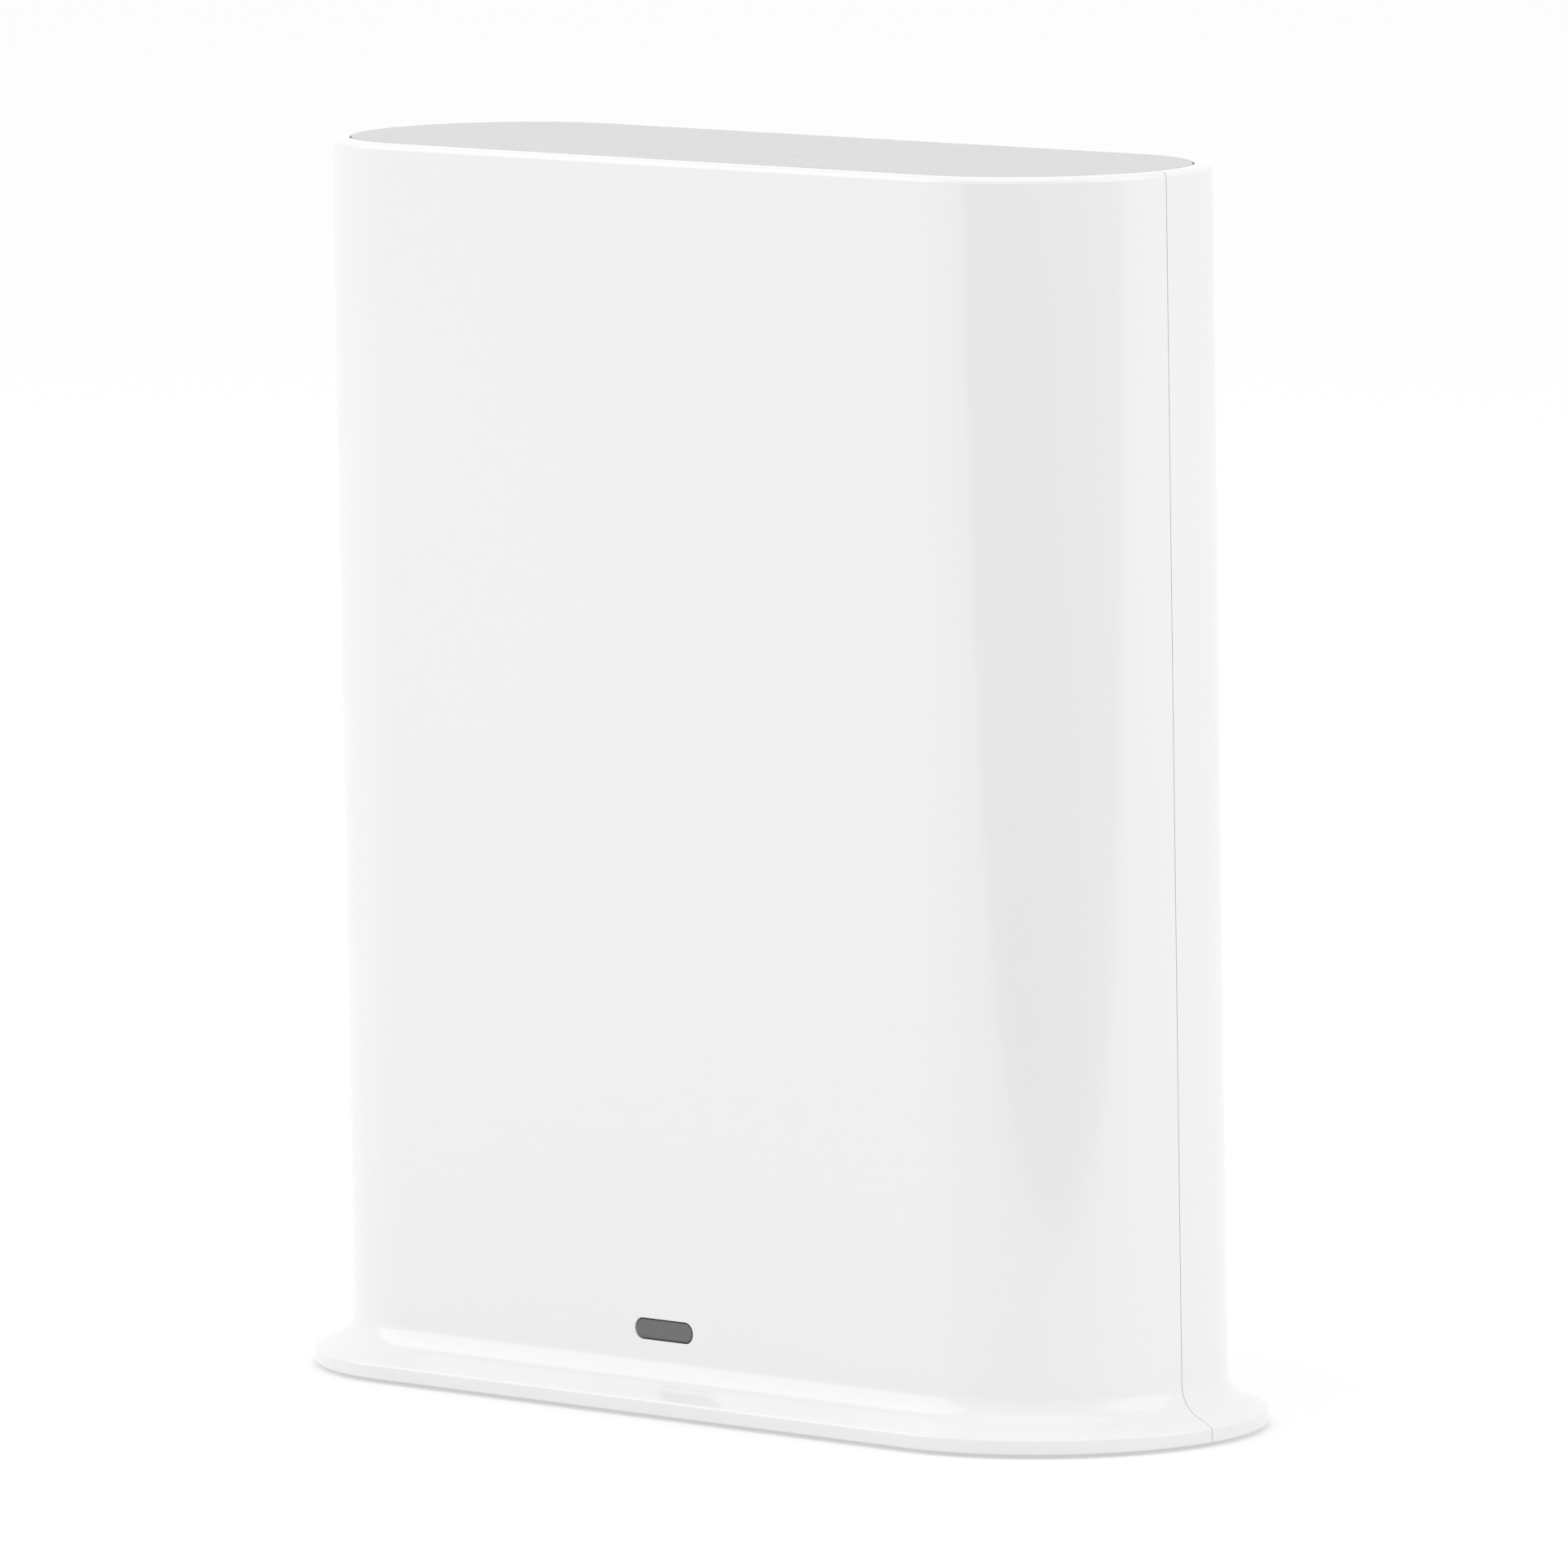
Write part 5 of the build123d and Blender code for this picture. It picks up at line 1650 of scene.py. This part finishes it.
@dataclass
class ConnectorBay:
    """The tray recessed in the rear, and the connectors that show through its floor."""

    tower: Tower
    wall: float = 1.5 * MM
    floor: float = 1.5 * MM
    ear_height: float = 12.0 * MM
    corner: float = 4.0 * MM
    draft: float = 3.0
    rim_edge: float = 0.3 * MM
    floor_edge: float = 0.6 * MM
    port_gap: float = 0.3 * MM
    housing_corner: float = 0.3 * MM
    housing_edge: float = 0.25 * MM
    pinhole_radius: float = 0.9 * MM
    pinhole_edge: float = 0.3 * MM
    pinhole_spare: float = 0.2 * MM
    shank_radius: float = 1.6 * MM
    socket_width: float = 11.9 * MM
    socket_height: float = 6.9 * MM
    socket_depth: float = 12.5 * MM
    socket_drop: float = 1.4 * MM
    socket_edge: float = 0.2 * MM
    socket_corner: float = 0.15 * MM
    latch_width: float = 6.4 * MM
    latch_height: float = 1.7 * MM
    lamp_width: float = 3.0 * MM
    lamp_gap: float = 0.05 * MM
    lamp_corner: float = 0.1 * MM
    key_width: float = 3.4 * MM
    key_height: float = 1.3 * MM
    usb_sheet: float = 0.3 * MM
    usb_depth: float = 9.6 * MM
    usb_corner: float = 0.7 * MM
    usb_lip: float = 0.08 * MM
    usb_mouth_edge: float = 0.12 * MM
    usb_play: float = 0.02 * MM
    usb_block_edge: float = 0.1 * MM
    usb_tongue_width: float = 11.1 * MM
    usb_tongue_thickness: float = 1.8 * MM
    usb_tongue_offset: float = 0.9 * MM
    usb_tongue_corner: float = 0.25 * MM
    usb_tongue_root: float = 0.5 * MM
    usb_tongue_edge: float = 0.2 * MM
    dc_bore_radius: float = 2.95 * MM
    dc_bore_depth: float = 10.0 * MM
    dc_pin_radius: float = 1.0 * MM
    dc_pin_root: float = 3.0 * MM
    dc_pin_root_radius: float = 1.6 * MM
    dc_play: float = 0.02 * MM
    dc_overlap: float = 0.1 * MM
    dc_edge: float = 0.4 * MM

    def port_outline(self, node: str) -> Outline:
        """Gives the outline of a connector, seen from the rear."""
        low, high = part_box(node)
        return Outline(high.x - low.x, high.z - low.z, self.housing_corner, 4)

    def port_place(self, node: str) -> Matrix:
        """Gives the place of a connector, on the middle plane."""
        centre = middle(node)
        return Facing.REAR.at(centre.x, 0, centre.z)

    def tray(self) -> bpy.types.Object:
        """Makes the tray, with its drafted walls, its ears and the holes in its floor.

        Returns:
            The piece.
        """
        low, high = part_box("port_tray")
        centre_z = (low.z + high.z) / 2
        place = Facing.REAR.at(0, 0, centre_z)
        length = high.x - low.x - 2 * self.tower.tray_ear
        outer = Outline(length, high.z - low.z, self.corner + self.wall, 10)
        inner = Outline(length - 2 * self.wall, high.z - low.z - 2 * self.wall, self.corner, 10)
        floor_y = low.y + self.floor
        spread = (high.y - self.rim_edge - floor_y) * math.tan(math.radians(self.draft))
        floor_arc = [
            (-self.floor_edge * (1 - math.sin(turn)), floor_y + self.floor_edge * (1 - math.cos(turn)))
            for turn in evenly(0, QUARTER, 4)
        ]
        cavity = [*floor_arc, *edge_arc(spread, high.y, self.rim_edge, 1)]
        cavity.append((cavity[-1][0], high.y + SPARE))
        ears = Outline(high.x - low.x, self.ear_height, self.wall, 5)
        holes = [Solid.stack(inner, cavity, place)]
        through = [(0, low.y - SPARE), (0, floor_y + SPARE)]
        port_levels = [(self.port_gap, out) for _, out in through]
        for node in ("ethernet_jack", "usb_shell", "power_jack"):
            holes.append(Solid.stack(self.port_outline(node), port_levels, self.port_place(node)))
        screw_low, screw_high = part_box("tray_screws")
        for x in (screw_low.x + SCREW_HEAD_RADIUS, screw_high.x - SCREW_HEAD_RADIUS):
            holes.append(Solid.rod(self.shank_radius, through, Facing.REAR.at(x, 0, centre_z)))
        pinhole = mouth(0, low.y - SPARE, floor_y, self.pinhole_edge, self.pinhole_spare)
        reset = middle("reset_plunger")
        holes.append(Solid.rod(self.pinhole_radius, pinhole, Facing.REAR.at(reset.x, 0, reset.z)))
        body = Solid.stack(outer, block(0, low.y, high.y, self.rim_edge), place)
        plate = Solid.stack(ears, [(0, low.y), (0, floor_y)], place)
        return show(body.joined(plate).cut(*holes), "tray", TRAY_WHITE, ["port_tray"])

    def screws(self) -> bpy.types.Object:
        """Makes the two screws that hold the tray.

        Returns:
            The piece.
        """
        low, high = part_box("tray_screws")
        seat_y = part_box("port_tray")[0].y
        screw = PanScrew(high.y - seat_y)
        places = (low.x + SCREW_HEAD_RADIUS, high.x - SCREW_HEAD_RADIUS)
        solids = [screw.solid(Facing.FRONT.at(x, seat_y, (low.z + high.z) / 2)) for x in places]
        return show(merged(solids), "screws_in_tray", PLATED_STEEL, ["tray_screws"])

    def ethernet(self) -> bpy.types.Object:
        """Makes the network jack.

        Returns:
            The piece.
        """
        low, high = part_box("ethernet_jack")
        place = self.port_place("ethernet_jack")
        levels = block(0, low.y, high.y, self.housing_edge)
        housing = Solid.stack(self.port_outline("ethernet_jack"), levels, place)
        step_up = self.socket_height / 2 - self.socket_drop
        shapes = (
            (self.socket_width, self.socket_height, -self.socket_drop),
            (self.latch_width, 2 * self.latch_height, step_up),
            (self.key_width, 2 * self.key_height, step_up + self.latch_height),
        )
        levels = mouth(0, high.y - self.socket_depth, high.y, self.socket_edge)
        cuts = []
        for width, height, up in shapes:
            shape = Outline(width, height, self.socket_corner, 3)
            cuts.append(Solid.stack(shape, levels, place @ Matrix.Translation((0, up, 0))))
        lamp_low, lamp_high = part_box("ethernet_lamps")
        recess = Outline(self.lamp_width, lamp_high.z - lamp_low.z, self.lamp_corner, 2)
        levels = [(self.lamp_gap, lamp_low.y), (self.lamp_gap, high.y + SPARE)]
        for x in (lamp_low.x + self.lamp_width / 2, lamp_high.x - self.lamp_width / 2):
            lamp_place = Facing.REAR.at(x, 0, (lamp_low.z + lamp_high.z) / 2)
            cuts.append(Solid.stack(recess, levels, lamp_place))
        return show(housing.cut(*cuts), "network_jack", CONNECTOR_BLACK, ["ethernet_jack"])

    def usb(self) -> list[bpy.types.Object]:
        """Makes the USB socket's shell and tongue.

        Returns:
            The shell and the tongue.
        """
        low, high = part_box("usb_shell")
        place = self.port_place("usb_shell")
        outer = Outline(high.x - low.x, high.z - low.z, self.usb_corner)
        tube = Solid.stack(outer, block(0, low.y, high.y, self.usb_lip), place)
        bore_levels = mouth(-self.usb_sheet, low.y - SPARE, high.y, self.usb_mouth_edge)
        bore = Solid.stack(outer, bore_levels, place)
        shell = show(tube.cut(bore), "usb_case", SHELL_STEEL, ["usb_shell"])
        tongue_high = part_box("usb_tongue")[1].y
        block_end = high.y - self.usb_depth
        filler_levels = block(-self.usb_sheet - self.usb_play, low.y, block_end, self.usb_block_edge)
        filler = Solid.stack(outer, filler_levels, place)
        blade = Outline(self.usb_tongue_width, self.usb_tongue_thickness, self.usb_tongue_corner, 4)
        blade_place = place @ Matrix.Translation((0, self.usb_tongue_offset, 0))
        blade_levels = block(0, block_end - self.usb_tongue_root, tongue_high, self.usb_tongue_edge)
        tongue = Solid.stack(blade, blade_levels, blade_place)
        core = show(filler.joined(tongue), "usb_blade", TONGUE_BLACK, ["usb_tongue"])
        return [shell, core]

    def power(self) -> list[bpy.types.Object]:
        """Makes the power jack and its pin.

        Returns:
            The jack and its pin.
        """
        low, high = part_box("power_jack")
        place = self.port_place("power_jack")
        levels = block(0, low.y, high.y, self.housing_edge)
        housing = Solid.stack(self.port_outline("power_jack"), levels, place)
        bore_end = high.y - self.dc_bore_depth
        bore = Solid.rod(self.dc_bore_radius, mouth(0, bore_end, high.y, self.dc_edge), place)
        root_levels = [(0, bore_end - self.dc_pin_root), (0, bore_end + self.dc_overlap)]
        root = Solid.rod(self.dc_pin_root_radius, root_levels, place)
        jack = show(housing.cut(bore, root), "inlet", CONNECTOR_BLACK, ["power_jack"])
        pin_low, pin_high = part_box("power_pin")
        profile = [
            (self.dc_pin_root_radius - self.dc_play, pin_low.y),
            (self.dc_pin_root_radius - self.dc_play, bore_end),
            (self.dc_pin_radius, bore_end),
            *edge_arc(self.dc_pin_radius, pin_high.y, self.dc_edge, -1),
        ]
        pin = show(Solid.turned(profile, place), "inlet_pin", PLATED_STEEL, ["power_pin"])
        return [jack, pin]

    def build(self) -> list[bpy.types.Object]:
        """Makes the tray, its screws and the connectors.

        Returns:
            The pieces that were made.
        """
        dress("ethernet_contacts", CONTACT_GOLD)
        dress("ethernet_lamps", LAMP_RESIN)
        dress("usb_contacts", CONTACT_GOLD)
        return [self.tray(), self.screws(), self.ethernet(), *self.usb(), *self.power()]


@dataclass
class SyncButton:
    """The round button in the rear face."""

    tower: Tower
    edge: float = 0.5 * MM
    dish: float = 0.25 * MM
    flange_radius: float = 7.0 * MM
    flange: float = 1.2 * MM
    play: float = 0.1 * MM
    stem_radius: float = 2.2 * MM
    stem_edge: float = 0.2 * MM
    dish_steps: int = 10

    def build(self) -> list[bpy.types.Object]:
        """Makes the button.

        Returns:
            The pieces that were made.
        """
        low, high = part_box("sync_button")
        flange_out = self.tower.inner - self.play
        radius = self.tower.button_radius
        rim = radius - self.edge
        parts = [step / self.dish_steps for step in range(1, self.dish_steps)]
        dish = [(rim * (1 - part), high.y - self.dish * (1 - (1 - part) ** 2)) for part in parts]
        profile = [
            (self.stem_radius - self.stem_edge, low.y),
            (self.stem_radius, low.y + self.stem_edge),
            (self.stem_radius, flange_out - self.flange),
            (self.flange_radius, flange_out - self.flange),
            (self.flange_radius, flange_out),
            (radius, flange_out),
            *edge_arc(radius, high.y, self.edge, -1),
            *dish,
        ]
        place = Facing.REAR.at(0, 0, (low.z + high.z) / 2)
        solid = Solid.turned(profile, place, 96)
        return [show(solid, "button", BUTTON_WHITE, ["sync_button"], "sync_button")]


def dress(node: str, finish: Finish) -> None:
    """Gives a CAD node its finish, in every slot that it has.

    Args:
        node: The node's name.
        finish: What it is made of.
    """
    for slot in frame["nodes"][node].material_slots:
        slot.material = material_of(finish)
    log.info("%s: dressed in %s", node, finish.name)


@dataclass
class Electronics:
    """The boards and what stands on them, kept as the frame has them and dressed."""

    finishes: dict[str, Finish] = field(
        default_factory=lambda: {
            "main_board": BOARD_GREEN,
            "board_screws": PLATED_STEEL,
            "sync_switch": CONNECTOR_BLACK,
            "sync_plunger": TONGUE_BLACK,
            "reset_switch": CONNECTOR_BLACK,
            "reset_plunger": TONGUE_BLACK,
            "processor": CHIP_RESIN,
            "thermal_pad": GAP_PAD_GREY,
            "memory_chips": CHIP_RESIN,
            "flash_chip": CHIP_RESIN,
            "clock_crystal": CAN_STEEL,
            "heat_spreader": SPREADER_ALUMINIUM,
            "spreader_spacers": SPACER_BRASS,
            "spreader_screws": PLATED_STEEL,
            "radio_chips": CHIP_RESIN,
            "left_radio_shield": CAN_STEEL,
            "right_radio_shield": CAN_STEEL,
            "left_antenna": ANTENNA_BLACK,
            "right_antenna": ANTENNA_BLACK,
            "left_antenna_lead": LEAD_GREY,
            "right_antenna_lead": LEAD_GREY,
            "antenna_sockets": CONTACT_GOLD,
            "antenna_plugs": CONTACT_GOLD,
            "network_transformer": CHIP_RESIN,
            "transformer_legs": PLATED_STEEL,
            "power_inductors": FERRITE_GREY,
            "power_capacitors": CAN_STEEL,
        }
    )

    def build(self) -> list[bpy.types.Object]:
        """Dresses every node.

        Returns:
            The pieces that were made.
        """
        for node, finish in self.finishes.items():
            dress(node, finish)
        return []


# The studio


@dataclass(frozen=True)
class Softbox:
    """A square lamp that looks at the object."""

    name: str
    azimuth: float
    elevation: float
    distance: float
    width: float
    height: float
    energy: float

    def add(self, target: Vector) -> bpy.types.Object:
        """Adds the lamp, turned to a point.

        Args:
            target: The point that it looks at.

        Returns:
            The object.
        """
        lamp = bpy.data.lights.new(self.name, "AREA")
        lamp.shape = "RECTANGLE"
        lamp.size = self.width
        lamp.size_y = self.height
        lamp.energy = self.energy
        box = placed(self.name, lamp)
        box.matrix_world = view_matrix(target, self.azimuth, self.elevation, self.distance)
        return box


def view_matrix(
    target: Vector, azimuth: float, elevation: float, distance: float, roll: float = 0.0
) -> Matrix:
    """Gives the place of something that looks at a point, in degrees round it and above it.

    Args:
        target: The point that it looks at.
        azimuth: How far round, in degrees.
        elevation: How far above, in degrees.
        distance: How far away.
        roll: How far it leans, in degrees.

    Returns:
        The place.
    """
    return (
        Matrix.Translation(target)
        @ Matrix.Rotation(math.radians(azimuth), 4, "Z")
        @ Matrix.Rotation(math.radians(90 - elevation), 4, "X")
        @ Matrix.Rotation(math.radians(roll), 4, "Z")
        @ Matrix.Translation((0, 0, distance))
    )


@dataclass
class Studio:
    """A plain pale floor, soft lamps and a white surrounding."""

    floor_half: float = 4.0
    floor_colour: Colour = (0.82, 0.82, 0.82)
    floor_shade: Colour = (0.33, 0.33, 0.33)
    floor_glow: float = 0.68
    shadow_reach: float = 16 * MM
    shadow_start: float = 0.35
    shadow_end: float = 0.88
    shadow_tone: Colour = (0.84, 0.84, 0.84)
    ambient: float = 0.89
    lamps: tuple[Softbox, ...] = (
        Softbox("left_softbox", -50, 28, 1.6, 1.2, 1.2, 5),
        Softbox("right_softbox", 105, 28, 1.6, 1.2, 1.2, 4),
        Softbox("top_softbox", 20, 82, 1.5, 1.2, 1.2, 2),
    )
    # A dark sheet on the floor, seen only in reflections, paints a darker reflection on the casing's right
    # end.
    dark_sheet_azimuth: float = 47.0
    dark_sheet_distance: float = 0.238
    dark_sheet_reach: float = 3.0
    dark_sheet_nose: float = 0.05
    dark_sheet_slope: float = 0.62
    dark_sheet_lift: float = 0.1 * MM
    dark_sheet_steps: int = 24
    dark_sheet_glow: float = 0.03

    def floor(self) -> bpy.types.Object:
        """Makes the floor, which stays white around the object, keeps its cast shadow and has a painted
        contact shadow round the foot.

        Returns:
            The floor.
        """
        shape = bmesh.new()
        bmesh.ops.create_grid(shape, x_segments=8, y_segments=8, size=self.floor_half)
        mesh = bpy.data.meshes.new("floor")
        shape.to_mesh(mesh)
        shape.free()
        floor = placed("floor", mesh)
        material = bpy.data.materials.new("floor_white")
        graph = Graph(material)
        matt = graph.shader("ShaderNodeBsdfDiffuse", {"Color": self.floor_colour})
        shade = graph.shader("ShaderNodeBsdfDiffuse", {"Color": self.floor_shade})
        # Painted contact shadow: the floor's glow is dimmed where ambient occlusion finds the object near.
        openness = graph.signal("ShaderNodeAmbientOcclusion", None, {"Distance": self.shadow_reach}, "AO")
        glow_with_painted_shadow = graph.mixed(openness.ramp(self.shadow_start, self.shadow_end), self.shadow_tone, (1, 1, 1))
        glow = graph.shader("ShaderNodeEmission", {"Color": glow_with_painted_shadow, "Strength": self.floor_glow})
        lit = graph.shader("ShaderNodeAddShader", {0: shade, 1: glow})
        graph.finish(graph.shader("ShaderNodeMixShader", {0: graph.seen(), 1: matt, 2: lit}))
        mesh.materials.append(material)
        floor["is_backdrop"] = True
        return floor

    def dark_reflection_sheet(self) -> bpy.types.Object:
        """Makes a dark sheet on the floor that shows only in reflections, a painted reflection on the
        casing.

        Its near edge on the floor is a blunt point in front of the right end of the casing.

        Returns:
            The sheet.
        """
        end_x = Tower().end_x
        half_width = self.dark_sheet_reach - self.dark_sheet_distance
        steps = range(-self.dark_sheet_steps, self.dark_sheet_steps + 1)
        edge = []
        for across in (half_width * math.copysign((step / self.dark_sheet_steps) ** 2, step) for step in steps):
            blunt = math.hypot(self.dark_sheet_nose, across) - self.dark_sheet_nose
            edge.append(Vector((across, -self.dark_sheet_distance - self.dark_sheet_slope * blunt, 0)))
        far = [Vector((edge[-1].x, -self.dark_sheet_reach, 0)), Vector((edge[0].x, -self.dark_sheet_reach, 0))]
        turn = Matrix.Rotation(math.radians(self.dark_sheet_azimuth), 4, "Z")
        place = Matrix.Translation((end_x, 0, self.dark_sheet_lift)) @ turn
        shape = bmesh.new()
        shape.faces.new([shape.verts.new(place @ point) for point in [*edge, *far]])
        mesh = bpy.data.meshes.new("dark_reflection_sheet")
        shape.to_mesh(mesh)
        shape.free()
        dark_reflection_sheet = placed("dark_reflection_sheet", mesh)
        for kind in ("camera", "diffuse", "transmission", "shadow", "volume_scatter"):
            setattr(dark_reflection_sheet, f"visible_{kind}", False)
        material = bpy.data.materials.new("painted_reflection_black")
        graph = Graph(material)
        graph.finish(graph.shader("ShaderNodeEmission", {"Color": (1, 1, 1), "Strength": self.dark_sheet_glow}))
        mesh.materials.append(material)
        dark_reflection_sheet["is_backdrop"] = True
        return dark_reflection_sheet

    def surroundings(self) -> None:
        """Makes the world, white where it is seen and plain where it lights."""
        world = bpy.data.worlds.new("surroundings")
        bpy.context.scene.world = world
        graph = Graph(world)
        light = graph.shader("ShaderNodeBackground", {"Color": (1, 1, 1), "Strength": self.ambient})
        white = graph.shader("ShaderNodeBackground", {"Color": (1, 1, 1), "Strength": 1.0})
        graph.finish(graph.shader("ShaderNodeMixShader", {0: graph.seen(), 1: light, 2: white}))

    def build(self) -> None:
        """Adds the floor, the surroundings and the lamps."""
        self.floor()
        self.dark_reflection_sheet()
        self.surroundings()
        low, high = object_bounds()
        target = (Vector(low) + Vector(high)) / 2
        for lamp in self.lamps:
            lamp.add(target)
        bpy.context.scene.view_settings.view_transform = "Standard"


@dataclass
class Viewpoint:
    """The camera, which stands where the photograph was taken from."""

    azimuth: float = 43.93
    elevation: float = 6.53
    roll: float = -0.893
    distance: float = 2318.45 * MM
    focal_length: float = 391.97
    sensor: float = 36.0
    far_end: float = 50.0
    target: tuple[float, float, float] = (0.933 * MM, 0.66 * MM, 83.494 * MM)

    def add(self) -> bpy.types.Object:
        """Adds the camera and makes it the scene's own.

        Returns:
            The object.
        """
        lens = bpy.data.cameras.new("camera")
        lens.lens = self.focal_length
        lens.sensor_width = self.sensor
        lens.clip_end = self.far_end
        camera = placed("camera", lens)
        target = Vector(self.target)
        camera.matrix_world = view_matrix(target, self.azimuth, self.elevation, self.distance, self.roll)
        bpy.context.scene.camera = camera
        return camera


def main() -> None:
    """Builds every sub-assembly in order, then the studio and the camera."""
    logging.basicConfig(level=logging.INFO, format="%(name)s: %(message)s", force=True)
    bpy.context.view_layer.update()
    tower = Tower()
    parts = (
        Casing(tower),
        TopCap(tower),
        StatusWindow(tower),
        Foot(tower),
        ConnectorBay(tower),
        SyncButton(tower),
        Electronics(),
    )
    for part in parts:
        pieces = part.build()
        log.info("%s: %s", type(part).__name__, ", ".join(piece.name for piece in pieces) or "dressed")
    Studio().build()
    Viewpoint().add()


if __name__ == "__main__":
    main()
